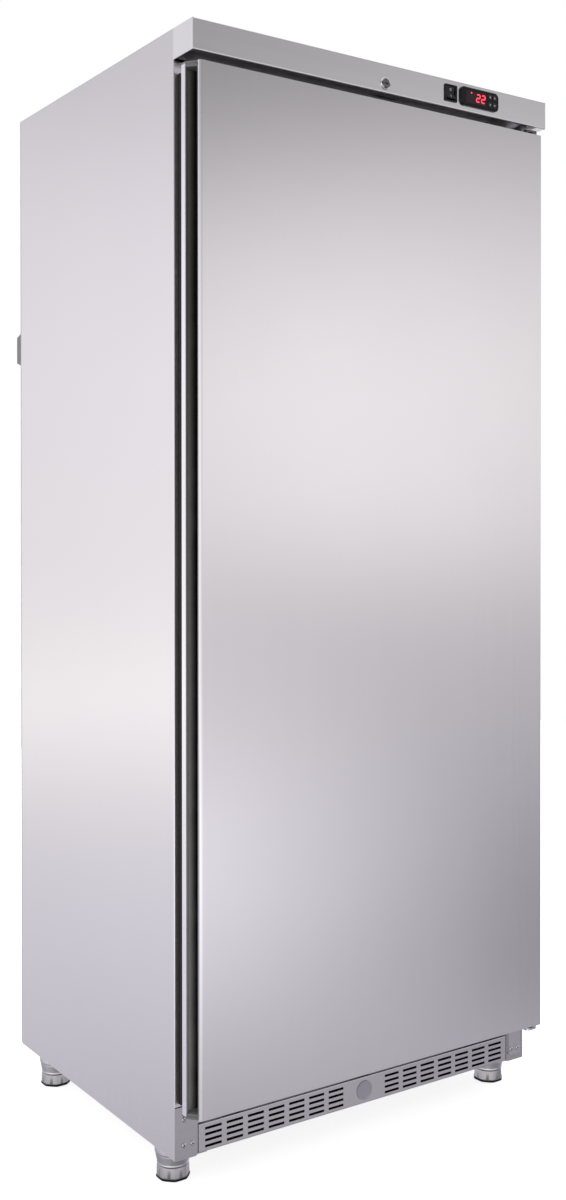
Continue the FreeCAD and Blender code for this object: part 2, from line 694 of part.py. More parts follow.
def cabinet_sheets():
    """Side panels, top, back, header, sill and the folded pan under the foam."""
    steel = size.steel
    inner_bend = size.bend - steel
    for hand, sign in HANDS:
        face = HALF * sign
        inside = (HALF - steel) * sign
        flange = (HALF - size.land) * sign
        rear = (HALF - size.rear_flange) * sign
        panel = Piece(f"side_panel_{hand}")
        profile = Outline(
            (flange, 0),
            (face, 0, size.bend),
            (face, BACK_SHEET, size.bend),
            (rear, BACK_SHEET),
            (rear, BACK_SHEET - steel),
            (inside, BACK_SHEET - steel, inner_bend),
            (inside, steel, inner_bend),
            (flange, steel),
        )
        panel.pad("XY", size.foot_height, size.cabinet_top - steel, profile)
        holes = screw_holes((x * sign, z) for x, z in corner_screws())
        panel.cut("XZ", 0, steel, *holes)

    under_top = size.cabinet_top - steel
    edge = HALF - size.land
    top = Piece("top_panel")
    top.pad("XY", under_top, size.cabinet_top, box(-HALF, 0, HALF, BACK_SHEET))
    rear = HALF - size.rear_flange
    drop = size.cabinet_top - size.rear_flange
    top.pad("XZ", BACK_SHEET - steel, BACK_SHEET, box(-rear, drop, rear, under_top))
    top.pad("XZ", 0, steel, box(-edge, OPEN_TOP + size.trim_cover, edge, under_top))

    back = Piece("back_panel")
    back.pad("XZ", BACK_SHEET, size.cabinet_depth, box(-HALF, BAY_TOP, HALF, size.cabinet_top))

    pan = Piece("bottom_pan")
    sill_top = OPEN_BOTTOM - size.trim_cover
    pan.pad("XZ", 0, steel, box(-edge, FOAM_BOTTOM - steel, edge, sill_top))
    profile = Outline(
        (steel, FOAM_BOTTOM - steel),
        (size.bay_front + steel, FOAM_BOTTOM - steel),
        (size.bay_front + steel, BAY_TOP - steel),
        (BACK_SHEET - size.bend, BAY_TOP - steel),
        (BACK_SHEET - size.bend, BAY_TOP),
        (size.bay_front, BAY_TOP),
        (size.bay_front, FOAM_BOTTOM),
        (steel, FOAM_BOTTOM),
    )
    pan.pad("YZ", steel - HALF, HALF - steel, profile)


def liner_profile(grow, front):
    """The freezer compartment from the side, with its step over the machine bay."""
    return Outline(
        (front, OPEN_BOTTOM - grow),
        (STEP_FRONT + grow, OPEN_BOTTOM - grow),
        (STEP_FRONT + grow, STEP_TOP - grow),
        (OPEN_BACK + grow, STEP_TOP - grow),
        (OPEN_BACK + grow, OPEN_TOP + grow),
        (front, OPEN_TOP + grow),
    )


def insulated_box():
    """Foam, liner and breaker trim."""
    steel = size.steel
    wall = size.liner_sheet
    outer = INNER_HALF + wall
    flange_half = INNER_HALF + size.liner_flange
    flange_back = size.trim_sheet + wall
    flange_low = OPEN_BOTTOM - size.liner_flange
    flange_high = OPEN_TOP + size.liner_flange
    flange = box(-flange_half, flange_low, flange_half, flange_high)
    cover_half = HALF - size.land
    cover = box(-cover_half, OPEN_BOTTOM - size.trim_cover, cover_half, OPEN_TOP + size.trim_cover)

    foam = Piece("cabinet_foam")
    block = Outline(
        (steel, FOAM_BOTTOM),
        (size.bay_front, FOAM_BOTTOM),
        (size.bay_front, BAY_TOP),
        (BACK_SHEET - steel, BAY_TOP),
        (BACK_SHEET - steel, size.cabinet_top - steel),
        (steel, size.cabinet_top - steel),
    )
    foam.pad("YZ", steel - HALF, HALF - steel, block)
    foam.cut("XZ", steel, size.trim_sheet, cover)
    foam.cut("XZ", steel, flange_back, flange)
    foam.cut("YZ", -outer, outer, liner_profile(wall, steel))
    foam.dress(
        "Chamfer",
        size.bend - steel,
        lambda spot, edge: near(abs(spot.x), HALF - steel)
        and (near(spot.y, steel) or near(spot.y, BACK_SHEET - steel)),
    )

    liner = Piece("liner")
    liner.pad("YZ", -outer, outer, liner_profile(wall, size.trim_sheet))
    liner.pad("XZ", size.trim_sheet, flange_back, flange)
    liner.cut("YZ", -INNER_HALF, INNER_HALF, liner_profile(0, 0))
    liner.dress(
        "Fillet",
        size.liner_round,
        lambda spot, edge: near(abs(spot.x), INNER_HALF)
        and edge.Length > 2 * size.liner_round.value
        and spot.y > 2 * flange_back.value
        and not near(spot.y, STEP_FRONT),
    )

    trim = Piece("breaker_trim")
    trim.pad("XZ", 0, size.trim_sheet, cover)
    mouth = box(-INNER_HALF, OPEN_BOTTOM, INNER_HALF, OPEN_TOP, size.liner_round)
    trim.pad("XZ", size.trim_sheet, size.trim_return, mouth)
    lip = size.trim_lip
    half = INNER_HALF - lip
    clear = box(-half, OPEN_BOTTOM + lip, half, OPEN_TOP - lip, size.liner_round - lip)
    trim.cut("XZ", 0, size.trim_return, clear)


def fascia():
    """The folded control fascia above the door, and its two end caps."""
    steel = size.steel
    inner_bend = size.bend - steel
    panel = Piece("fascia_panel")
    profile = Outline(
        (0, size.cabinet_top),
        (FASCIA_FRONT, size.cabinet_top, size.bend),
        (FASCIA_FRONT, FASCIA_BOTTOM, size.bend),
        (-size.fascia_back_gap, FASCIA_BOTTOM),
        (-size.fascia_back_gap, FASCIA_BOTTOM + steel),
        (FASCIA_FRONT + steel, FASCIA_BOTTOM + steel, inner_bend),
        (FASCIA_FRONT + steel, size.cabinet_top - steel, inner_bend),
        (0, size.cabinet_top - steel),
    )
    panel.pad("YZ", steel - HALF, HALF - steel, profile)
    panel.cut(
        "XZ",
        FASCIA_FRONT,
        FASCIA_FRONT + steel,
        polygon(0, LOCK_Z, size.lock_barrel_radius + size.cut_play, 8),
        switch_outline(size.cut_play - size.switch_rim),
        controller_cut(size.cut_play),
    )
    half_cam = size.cam_width / 2
    panel.cut(
        "XY",
        FASCIA_BOTTOM,
        FASCIA_BOTTOM + steel,
        box(-half_cam - size.cam_room, SLOT_FRONT, size.cam_length + size.cam_room, SLOT_BACK),
    )
    ends = Piece("fascia_ends")
    end = box(FASCIA_FRONT, FASCIA_BOTTOM, 0, size.cabinet_top)
    ends.pad("YZ", -HALF, steel - HALF, end)
    ends.pad("YZ", HALF - steel, HALF, end)


def switch_outline(grow):
    """The switch bezel's outline, or one larger or smaller all round."""
    middle = FASCIA_BOTTOM + size.switch_rise
    half = size.switch_width / 2 + grow
    tall = size.switch_height / 2 + grow
    return box(size.switch_offset - half, middle - tall, size.switch_offset + half, middle + tall)


def controller_cut(grow):
    """The controller case's outline, or one larger all round."""
    middle = FASCIA_BOTTOM + size.controller_rise
    half = size.case_width / 2 + grow
    tall = size.case_height / 2 + grow
    left = size.controller_offset - half
    return box(left, middle - tall, size.controller_offset + half, middle + tall)


def lock():
    """Lock body and nut in the fascia, and the plug and cam that turn down into the door."""
    front = FASCIA_FRONT - size.lock_flange_thick
    bore = size.plug_radius + size.running_fit
    housing = Piece("lock_body", z=LOCK_Z)
    housing.pad("XZ", FASCIA_FRONT, BARREL_END, polygon(0, 0, size.lock_barrel_radius, 8))
    housing.pad("XZ", front, FASCIA_FRONT, Ring(0, 0, size.lock_flange_radius))
    housing.dress("Chamfer", size.lock_flange_bevel, lambda spot, edge: near(spot.y, front))
    housing.cut("XZ", front, BARREL_END, Ring(0, 0, bore))

    nut_front = FASCIA_FRONT + size.steel
    nut_back = nut_front + size.lock_nut_thick
    hole = polygon(0, 0, size.lock_barrel_radius + size.thread_gap, 8)
    housing.pad("XZ", nut_front, nut_back, polygon(0, 0, size.lock_nut_flats / 2, 6), hole)

    plug = Piece("lock_plug", z=LOCK_Z)
    cam_front = CAM_BACK - size.cam_thick
    plug.pad("XZ", front - size.plug_proud, cam_front, Ring(0, 0, size.plug_radius))
    stub = polygon(0, 0, size.cam_stub_radius, 4)
    plug.pad("XZ", cam_front, CAM_BACK, stub)
    rivet = polygon(0, 0, size.cam_rivet_radius, 8)
    plug.pad("XZ", CAM_BACK, CAM_BACK + size.cam_rivet_thick, rivet)
    half_key = size.keyhole_width / 2
    half_tall = size.keyhole_height / 2
    key_end = front - size.plug_proud + size.keyhole_depth
    plug.cut("XZ", front - size.plug_proud, key_end, box(-half_tall, -half_key, half_tall, half_key))

    cam = Piece("lock_cam", z=LOCK_Z)
    half_cam = size.cam_width / 2
    arm = clipped_box(-half_cam, -half_cam, size.cam_length, half_cam, size.cam_width / 4)
    cam.pad("XZ", cam_front, CAM_BACK, arm, stub)


def switch():
    """Rocker switch: a case with a well, and the rocker on its two side pivots."""
    middle = FASCIA_BOTTOM + size.switch_rise
    face = FASCIA_FRONT - size.switch_proud
    pivot = FASCIA_FRONT + size.rocker_valley + size.rocker_sunk
    well_half = size.switch_width / 2 - size.switch_rim - size.switch_wall
    well_tall = size.switch_height / 2 - size.switch_rim - size.switch_end_wall
    case = Piece("switch_case", x=size.switch_offset, z=middle)
    bezel_half = size.switch_width / 2
    bezel_tall = size.switch_height / 2
    case_half = bezel_half - size.switch_rim
    case_tall = bezel_tall - size.switch_rim
    shell = box(-case_half, -case_tall, case_half, case_tall)
    case.pad("XZ", FASCIA_FRONT, FASCIA_FRONT + size.switch_case_depth, shell)
    bezel = clipped_box(-bezel_half, -bezel_tall, bezel_half, bezel_tall, size.switch_corner)
    case.pad("XZ", face, FASCIA_FRONT, bezel)
    well = box(-well_half, -well_tall, well_half, well_tall)
    case.cut("XZ", face, face + size.switch_well_depth, well)
    socket = well_half + size.trunnion_length + size.cut_play
    socket_radius = size.trunnion_radius + size.running_fit
    case.cut("YZ", -socket, socket, polygon(pivot, 0, socket_radius, 8))

    at = {"x": size.switch_offset, "y": pivot, "z": middle}
    rocker = Piece("switch_rocker", lean_back=size.rocker_tilt, **at)
    half = well_half - size.rocker_play
    tall = size.rocker_half
    back = size.rocker_valley / 2
    profile = Outline(
        (-size.rocker_valley, 0),
        (-size.rocker_crest, tall),
        (-back, tall),
        (back, size.rocker_back),
        (back, -size.rocker_back),
        (-back, -tall),
        (-size.rocker_crest, -tall),
    )
    rocker.pad("YZ", -half, half, profile)
    reach = half + size.trunnion_length
    rocker.pad("YZ", -reach, reach, Ring(0, 0, size.trunnion_radius))


def controller():
    """Temperature controller: case behind the fascia, bezel, display window and four buttons."""
    middle = FASCIA_BOTTOM + size.controller_rise
    at = {"x": size.controller_offset, "z": middle}
    case = Piece("controller_case", **at)
    half = size.case_width / 2
    tall = size.case_height / 2
    case.pad("XZ", FASCIA_FRONT, FASCIA_FRONT + size.case_depth, box(-half, -tall, half, tall))
    face = FASCIA_FRONT - size.bezel_thick
    half = size.bezel_width / 2
    tall = size.bezel_height / 2
    case.pad("XZ", face, FASCIA_FRONT, box(-half, -tall, half, tall, size.bezel_round))
    case.dress("Chamfer", size.bezel_bevel, lambda spot, edge: near(spot.y, face))
    window_tall = size.window_height / 2
    glass_front = face + size.window_sunk
    glass_back = glass_front + size.window_thick
    pane = box(-size.window_left, -window_tall, size.window_right, window_tall)
    case.cut("XZ", face, glass_back, pane)
    half = size.button_width / 2
    tall = size.button_height / 2
    play = size.button_play
    columns = (size.button_offset, size.button_offset + size.button_pitch)
    spots = [(x, z) for x in columns for z in (size.button_rise, -size.button_rise)]
    wells = [box(x - half - play, z - tall - play, x + half + play, z + tall + play) for x, z in spots]
    case.cut("XZ", face, FASCIA_FRONT, *wells)

    Piece("display_window", **at).pad("XZ", glass_front, glass_back, pane)

    names = ("set", "defrost", "up", "down")
    for name, (x, z) in zip(names, spots):
        button = Piece(f"button_{name}", **at)
        back = FASCIA_FRONT - size.button_travel - size.button_gap
        keycap = clipped_box(x - half, z - tall, x + half, z + tall, size.button_corner)
        button.pad("XZ", face - size.button_proud, back, keycap)


def door():
    """Door: folded skin with its grip lip, grip channel, foam, inner panel and gasket."""
    steel = size.steel
    inner_bend = size.bend - steel
    lip = DOOR_LEFT + size.lip_inset
    lip_back = DOOR_FRONT + size.lip_depth
    grip_end = named("grip_end", DOOR_LEFT + size.grip_width)
    bush_hole = polygon(PIN_X, PIN_Y, size.bush_radius, 8)
    half_cam = size.cam_width / 2
    tip = size.cam_length - size.lock_rise - size.door_top_gap
    keeper = box(-half_cam - size.cam_room, SLOT_FRONT, size.keeper_length, SLOT_BACK)

    skin = Piece("door_skin")
    fold = DOOR_RIGHT - size.door_return
    profile = Outline(
        (fold, DOOR_BACK),
        (DOOR_RIGHT, DOOR_BACK, size.bend),
        (DOOR_RIGHT, DOOR_FRONT, size.bend),
        (lip, DOOR_FRONT, size.lip_round),
        (lip, lip_back, size.bend),
        (lip + size.lip_hem, lip_back),
        (lip + size.lip_hem, lip_back - steel),
        (lip + steel, lip_back - steel, inner_bend),
        (lip + steel, DOOR_FRONT + steel, size.lip_round - steel),
        (DOOR_RIGHT - steel, DOOR_FRONT + steel, inner_bend),
        (DOOR_RIGHT - steel, DOOR_BACK - steel, inner_bend),
        (fold, DOOR_BACK - steel),
    )
    skin.pad("XY", DOOR_BOTTOM, DOOR_TOP, profile)
    end = box(grip_end, DOOR_FRONT + steel, DOOR_RIGHT - steel, DOOR_BACK - steel)
    skin.pad("XY", DOOR_BOTTOM, DOOR_BOTTOM + steel, end)
    skin.pad("XY", DOOR_TOP - steel, DOOR_TOP, end)
    skin.cut("XY", DOOR_BOTTOM, DOOR_BOTTOM + steel, bush_hole)
    skin.cut("XY", DOOR_TOP - steel, DOOR_TOP, bush_hole, keeper)

    foam = Piece("door_foam")
    bulge = bulge_places()
    foam_top = DOOR_TOP - steel
    foam.pad("XY", DOOR_BOTTOM + steel, foam_top, end)
    foam.dress(
        "Chamfer",
        inner_bend,
        lambda spot, edge: near(spot.x, DOOR_RIGHT - steel)
        and (near(spot.y, DOOR_FRONT + steel) or near(spot.y, DOOR_BACK - steel)),
    )
    sheet_gap = size.panel_sheet
    rim = panel_places()
    rim_back = DOOR_BACK + size.panel_rim
    foam.pad(
        "XZ",
        DOOR_BACK - steel,
        rim_back - sheet_gap,
        box(grip_end, rim[1] + sheet_gap, fold, rim[3] - sheet_gap),
    )
    foam.pad(
        "XZ",
        rim_back - sheet_gap,
        rim_back + size.bulge_depth - size.recess_depth - 2 * sheet_gap,
        box(bulge[0] + sheet_gap, bulge[1] + sheet_gap, bulge[2] - sheet_gap, bulge[3] - sheet_gap),
    )
    foam.cut("XY", DOOR_BOTTOM + steel, DOOR_BOTTOM + steel + size.bush_length, bush_hole)
    foam.cut("XY", foam_top - size.bush_length, foam_top, bush_hole)
    foam.cut("XY", foam_top - tip - size.cam_room, foam_top, keeper)

    door_grip(lip, lip_back, grip_end)
    door_inner_panel(rim, rim_back, bulge, fold, grip_end)
    door_gasket(rim_back)


def panel_places():
    """The inner panel's left, low, right and high edges."""
    inset = size.panel_inset
    return (DOOR_LEFT + inset, DOOR_BOTTOM + inset, DOOR_RIGHT - inset, DOOR_TOP - inset)


def gasket_places():
    """The gasket's outer left, low, right and high edges."""
    inset = size.gasket_inset
    right = DOOR_RIGHT - size.gasket_hinge_inset
    return (DOOR_LEFT + inset, DOOR_BOTTOM + inset, right, DOOR_TOP - inset)


def bulge_places():
    """The raised middle's left, low, right and high edges, inside the cabinet's opening."""
    side = INNER_HALF - size.bulge_gap
    return (-side, OPEN_BOTTOM + size.bulge_gap, side, OPEN_TOP - size.bulge_gap)


def door_grip(lip, lip_back, grip_end):
    """The full-height grip channel on the door's left edge, its edge strip and its end caps."""
    steel = size.steel
    wall = size.grip_wall
    strip_front = DOOR_BACK - size.edge_strip_depth
    back_wall = DOOR_BACK - size.grip_floor
    low = DOOR_BOTTOM + size.cap_plate
    high = DOOR_TOP - size.cap_plate

    strip = Piece("door_edge_strip")
    profile = Outline(
        (DOOR_LEFT, strip_front),
        (DOOR_LEFT, DOOR_BACK, size.bend),
        (DOOR_LEFT + size.edge_strip_return, DOOR_BACK),
        (DOOR_LEFT + size.edge_strip_return, DOOR_BACK - steel),
        (DOOR_LEFT + steel, DOOR_BACK - steel, size.bend - steel),
        (DOOR_LEFT + steel, strip_front),
    )
    strip.pad("XY", low, high, profile)

    channel = Piece("grip_channel")
    entry = DOOR_LEFT + size.grip_slope
    profile = Outline(
        (lip + steel, lip_back),
        (grip_end, lip_back, wall),
        (grip_end, back_wall + wall, wall),
        (entry, back_wall + wall),
        (DOOR_LEFT + steel, strip_front + wall),
        (DOOR_LEFT + steel, strip_front),
        (entry, back_wall),
        (grip_end - wall, back_wall),
        (grip_end - wall, lip_back + wall),
        (lip + steel, lip_back + wall),
    )
    channel.pad("XY", low, high, profile)

    plate = Outline(
        (lip, lip_back),
        (grip_end, lip_back),
        (grip_end, DOOR_BACK),
        (DOOR_LEFT, DOOR_BACK),
        (DOOR_LEFT, strip_front),
    )
    plug = Outline(
        (lip + steel, lip_back + wall),
        (grip_end - wall, lip_back + wall),
        (grip_end - wall, back_wall),
        (entry, back_wall),
        (DOOR_LEFT + steel, strip_front),
    )
    caps = Piece("grip_caps")
    caps.pad("XY", DOOR_BOTTOM, low, plate)
    caps.pad("XY", low, low + size.cap_plug, plug)
    caps.pad("XY", high, DOOR_TOP, plate)
    caps.pad("XY", high - size.cap_plug, high, plug)


def door_inner_panel(rim, rim_back, bulge, fold, grip_end):
    """The white moulded panel on the door's inside, hollow towards the foam, with recesses."""
    wall = size.panel_sheet
    panel = Piece("door_inner_panel")
    panel.pad("XZ", DOOR_BACK, rim_back, box(*rim))
    bulge_back = rim_back + size.bulge_depth
    panel.pad("XZ", rim_back, bulge_back, box(*bulge, size.bulge_round))
    panel.dress("Chamfer", size.bulge_bevel, lambda spot, edge: near(spot.y, bulge_back))
    hollow = box(grip_end, rim[1] + wall, fold, rim[3] - wall)
    panel.cut("XZ", DOOR_BACK, rim_back - wall, hollow)
    hollow_back = bulge_back - size.recess_depth - wall
    hollow = box(bulge[0] + wall, bulge[1] + wall, bulge[2] - wall, bulge[3] - wall)
    panel.cut("XZ", rim_back - wall, hollow_back, hollow)
    margin = size.recess_margin
    count = int(size.recess_count)
    tall = (bulge[3] - bulge[1] - margin * (count + 1)) / count
    low = bulge[1] + margin
    recess = clipped_box(bulge[0] + margin, low, bulge[2] - margin, low + tall, size.bulge_round)
    panel.cut("XZ", bulge_back - size.recess_depth, bulge_back, recess)
    panel.repeat("Z", tall + margin, size.recess_count)


def door_gasket(rim_back):
    """The magnetic gasket round the door's inside, just clear of the cabinet's face."""
    gasket = Piece("gasket")
    left, low, right, high = gasket_places()
    width = size.gasket_width
    gasket.pad("XZ", rim_back, -size.gasket_clear, box(left, low, right, high))
    gasket.dress("Chamfer", size.gasket_chamfer, lambda spot, edge: near(spot.y, rim_back))
    inside = box(left + width, low + width, right - width, high - width)
    gasket.cut("XZ", rim_back, -size.gasket_clear, inside)


def hinges():
    """Top and bottom hinge plates with their pins, and the bushes in the door."""
    plate = size.hinge_plate
    leg = size.hinge_leg_thick
    pin_hole = size.pin_radius + size.running_fit
    right = PIN_X + size.hinge_side
    left = right - size.hinge_width
    nose = PIN_Y - size.hinge_nose
    top_low = DOOR_TOP + size.hinge_gap
    round_in = size.hinge_nose / 2

    top = Piece("hinge_plate_top")
    outline = Outline((left, 0), (left, nose, round_in), (right, nose, size.hinge_nose), (right, 0))
    hole = Ring(PIN_X, PIN_Y, pin_hole)
    top.pad("XY", top_low, top_low + plate, outline, hole)
    top.pad("XZ", -leg, 0, box(left, top_low + plate, right, top_low + size.hinge_leg))
    leg_middle = (left + right) / 2
    low_screw = top_low + size.hinge_leg - size.hinge_screw_drop - size.hinge_screw_pitch
    screw_spots = [(leg_middle, low_screw), (leg_middle, low_screw + size.hinge_screw_pitch)]
    top.cut("XZ", -leg, 0, *screw_holes(screw_spots))
    screws(screw_spots, leg)

    low_top = DOOR_BOTTOM - size.hinge_gap
    low_low = low_top - plate
    corner_face = -size.corner_thick
    bottom = Piece("hinge_plate_bottom")
    outline = Outline(
        (left, corner_face),
        (left, nose, round_in),
        (right, nose, size.hinge_nose),
        (right, corner_face),
    )
    bottom.pad("XY", low_low, low_top, outline, hole)
    foot = Outline(
        (left, low_low),
        (left, low_top - size.hinge_foot, size.corner_round),
        (right, low_top - size.hinge_foot, size.corner_round),
        (right, low_low),
    )
    bottom.pad("XZ", corner_face - leg, corner_face, foot)
    bottom.cut("XZ", corner_face - leg, corner_face, *screw_holes(corner_screws()))

    pins = Piece("hinge_pins", x=PIN_X, y=PIN_Y)
    pin = Ring(0, 0, size.pin_radius)
    head = polygon(0, 0, size.pin_head_radius, 6)
    pins.pad("XY", DOOR_TOP - size.pin_length, top_low + plate, pin)
    pins.pad("XY", top_low + plate, top_low + plate + size.pin_head_thick, head)
    pins.pad("XY", low_low, DOOR_BOTTOM + size.pin_length, pin)
    pins.pad("XY", low_low - size.pin_head_thick, low_low, head)

    bore = Ring(0, 0, size.pin_radius + size.running_fit)
    sleeve = polygon(0, 0, size.bush_radius, 8)
    flange = polygon(0, 0, size.bush_flange_radius, 8)
    flange_thick = size.hinge_gap - size.hinge_clear
    bushes = Piece("hinge_bushes", x=PIN_X, y=PIN_Y)
    bushes.pad("XY", DOOR_TOP - size.bush_length, DOOR_TOP, sleeve, bore)
    bushes.pad("XY", DOOR_TOP, DOOR_TOP + flange_thick, flange, bore)
    bushes.pad("XY", DOOR_BOTTOM, DOOR_BOTTOM + size.bush_length, sleeve, bore)
    bushes.pad("XY", DOOR_BOTTOM - flange_thick, DOOR_BOTTOM, flange, bore)


def screws(spots, held, tip=0):
    """Add screws along Y to the one group of them: heads on what they hold, held thick."""
    shanks = [polygon(x, z, size.screw_radius, 6) for x, z in spots]
    heads = [polygon(x, z, size.screw_head_radius, 8) for x, z in spots]
    SCREWS.pad("XZ", -held, tip, *shanks)
    SCREWS.pad("XZ", -held - size.screw_head_thick, -held, *heads)


def front_base():
    """Corner plates with their screws, kick grille with its centre cap and clips."""
    thick = size.corner_thick
    low = size.foot_height
    high = low + size.corner_height
    plates = Piece("corner_plates")
    for _, sign in HANDS:
        outline = Outline(
            (HALF * sign, low),
            ((HALF - size.land) * sign, low, size.corner_round),
            ((HALF - size.land) * sign, high),
            (HALF * sign, high),
        )
        plates.pad("XZ", -thick, 0, outline)
    for _, sign in HANDS:
        holes = screw_holes((x * sign, z) for x, z in corner_screws())
        plates.cut("XZ", -thick, 0, *holes)
    screws([(-x, z) for x, z in corner_screws()], thick, size.steel)
    screws(corner_screws(), thick + size.hinge_leg_thick, size.steel)

    steel = size.steel
    end = HALF - size.land - size.grille_gap
    low = size.foot_height + size.grille_low
    high = low + size.grille_height
    grille = Piece("kick_grille")
    inner_bend = size.bend - steel
    back = size.grille_return - thick
    profile = Outline(
        (back, low),
        (-thick, low, size.bend),
        (-thick, high, size.bend),
        (back, high),
        (back, high - steel),
        (steel - thick, high - steel, inner_bend),
        (steel - thick, low + steel, inner_bend),
        (back, low + steel),
    )
    grille.pad("YZ", -end, end, profile)
    middle = low + size.grille_height / 2
    grille.cut("XZ", -thick, steel - thick, polygon(0, middle, size.cap_stem_radius, 6))
    slot_left = size.slot_first - end
    for backwards in (False, True):
        left = -slot_left - size.slot_width if backwards else slot_left
        rows = []
        for row in range(int(size.slot_rows)):
            bottom = low + size.slot_low + size.slot_row_pitch * row
            rows.append(box(left, bottom, left + size.slot_width, bottom + size.slot_height))
        grille.cut("XZ", -thick, steel - thick, *rows)
        grille.repeat("X", size.slot_pitch, size.slot_columns, backwards)

    cap = Piece("grille_cap", z=middle)
    cap.pad("XZ", -thick, 0, polygon(0, 0, size.cap_stem_radius - size.cut_play, 6))
    face = -thick - size.cap_thick
    cap.pad("XZ", face, -thick, Ring(0, 0, size.cap_radius))
    cap.dress("Chamfer", size.cap_thick / 2, lambda spot, edge: near(spot.y, face))

    pan = FOAM_BOTTOM - steel
    tab = Outline(
        (back - steel, high - steel),
        (back - steel, pan),
        (back + size.tab_reach, pan),
        (back + size.tab_reach, pan - steel),
        (back, pan - steel),
        (back, high - steel),
    )
    for middle in (-size.tab_offset, dim(0), size.tab_offset):
        left = middle - size.tab_width / 2
        grille.pad("YZ", left, left + size.tab_width, tab)


def base():
    """Base rails and the four levelling feet, each a sleeve, a nut and a foot with its sole."""
    steel = size.rail_steel
    low = size.foot_height
    high = FOAM_BOTTOM - size.steel
    rail_end = BACK_SHEET - size.rail_end_gap
    feet = (("front", size.foot_front), ("rear", size.cabinet_depth - size.foot_back))
    foot_x = HALF - size.foot_inset
    rails = Piece("base_rails")
    for _, sign in HANDS:
        outer = (HALF - size.steel) * sign
        inner = (HALF - size.steel - size.rail_width) * sign
        web = (HALF - size.steel - steel) * sign
        profile = Outline(
            (inner, low),
            (outer, low),
            (outer, high),
            (inner, high),
            (inner, high - steel),
            (web, high - steel),
            (web, low + steel),
            (inner, low + steel),
        )
        rails.pad("XZ", size.rail_end_gap, rail_end, profile)
    spots = [(foot_x * sign, y) for sign in (-1, 1) for _, y in feet]
    nut_low = low + steel
    nuts = [polygon(x, y, size.foot_nut_flats / 2, 6) for x, y in spots]
    rails.pad("XY", nut_low, nut_low + size.foot_nut_thick, *nuts)
    holes = [polygon(x, y, size.stem_radius + size.stem_play, 8) for x, y in spots]
    rails.cut("XY", low, nut_low + size.foot_nut_thick, *holes)
    foot_sleeves(spots)
    for hand, sign in HANDS:
        for end, y in feet:
            levelling_foot(f"foot_{end}_{hand}", foot_x * sign, y)


def foot_sleeves(spots):
    """The many-sided sleeves under the rails, open below, that the feet slide out of."""
    top = size.foot_height
    low = top - size.sleeve_height
    shoulder = top - size.sleeve_straight
    faces = 16
    sleeves = Piece("foot_sleeves")
    collars = [polygon(x, y, size.sleeve_radius, faces) for x, y in spots]
    sleeves.pad("XY", shoulder, top, *collars)
    for x, y in spots:
        lower = polygon(x, y, size.sleeve_low_radius, faces)
        sleeves.loft(low, lower, shoulder, polygon(x, y, size.sleeve_radius, faces))
    inside = size.sleeve_low_radius - size.sleeve_wall
    hollows = [polygon(x, y, inside, faces) for x, y in spots]
    sleeves.cut("XY", low, top - size.sleeve_wall, *hollows)
    stems = [polygon(x, y, size.stem_radius + size.stem_play, 8) for x, y in spots]
    sleeves.cut("XY", top - size.sleeve_wall, top, *stems)


def levelling_foot(label, x, y):
    """An octagonal foot on the stem that goes through its sleeve, the rail and its nut."""
    low = size.foot_height - size.sleeve_height
    foot = Piece(label, x=x, y=y)
    foot_top = low - size.foot_seam
    flat = size.foot_across / 2
    foot.pad("XY", 0, size.foot_base, polygon(0, 0, flat + size.foot_flare, 8))
    foot.pad("XY", size.foot_base, foot_top, polygon(0, 0, flat, 8))
    stem_top = size.foot_height + size.rail_steel + size.stem_above
    foot.pad("XY", foot_top, stem_top, polygon(0, 0, size.stem_radius, 8))


def rear():
    """Slotted cover over the machine bay, and the two spacers that keep the back off a wall."""
    cover = Piece("rear_cover")
    low = size.foot_height + size.cover_rise
    cover.pad("XZ", BACK_SHEET, size.cabinet_depth, box(-HALF, low, HALF, BAY_TOP))
    half_slot = size.cover_slot_width / 2
    for column in (-1, 0, 1):
        middle = size.cover_column_pitch * column
        first = low + size.cover_slot_low
        slot = box(middle - half_slot, first, middle + half_slot, first + size.cover_slot_height)
        cover.cut("XZ", BACK_SHEET, size.cabinet_depth, slot)
        cover.repeat("Z", size.cover_slot_pitch, size.cover_slot_rows)
    high = size.spacer_level + size.spacer_height
    spacers = Piece("rear_spacers")
    back = size.cabinet_depth
    profile = Outline(
        (back, size.spacer_level),
        (back + size.spacer_depth, size.spacer_level + size.spacer_depth / 3),
        (back + size.spacer_depth, high - size.spacer_depth / 3),
        (back, high),
    )
    spacers.pad("YZ", -HALF, size.spacer_width - HALF, profile)
    spacers.pad("YZ", HALF - size.spacer_width, HALF, profile)


def machine_bay():
    """Machine plate, compressor on its rubber mounts, condenser and its fan."""
    steel = size.plate_steel
    floor = size.foot_height + size.rail_steel
    front = size.bay_front + size.plate_gap
    half = HALF - size.steel - size.rail_width + size.plate_lap
    plate = Piece("machine_plate")
    profile = Outline(
        (front, floor + size.plate_edge),
        (front, floor),
        (front + size.plate_depth, floor),
        (front + size.plate_depth, floor + size.plate_edge),
        (front + size.plate_depth - steel, floor + size.plate_edge),
        (front + size.plate_depth - steel, floor + steel),
        (front + steel, floor + steel),
        (front + steel, floor + size.plate_edge),
    )
    plate.pad("YZ", -half, half, profile)
    top = named("machine_plate_top", floor + steel)
    compressor(top)
    condenser(top, front + steel)


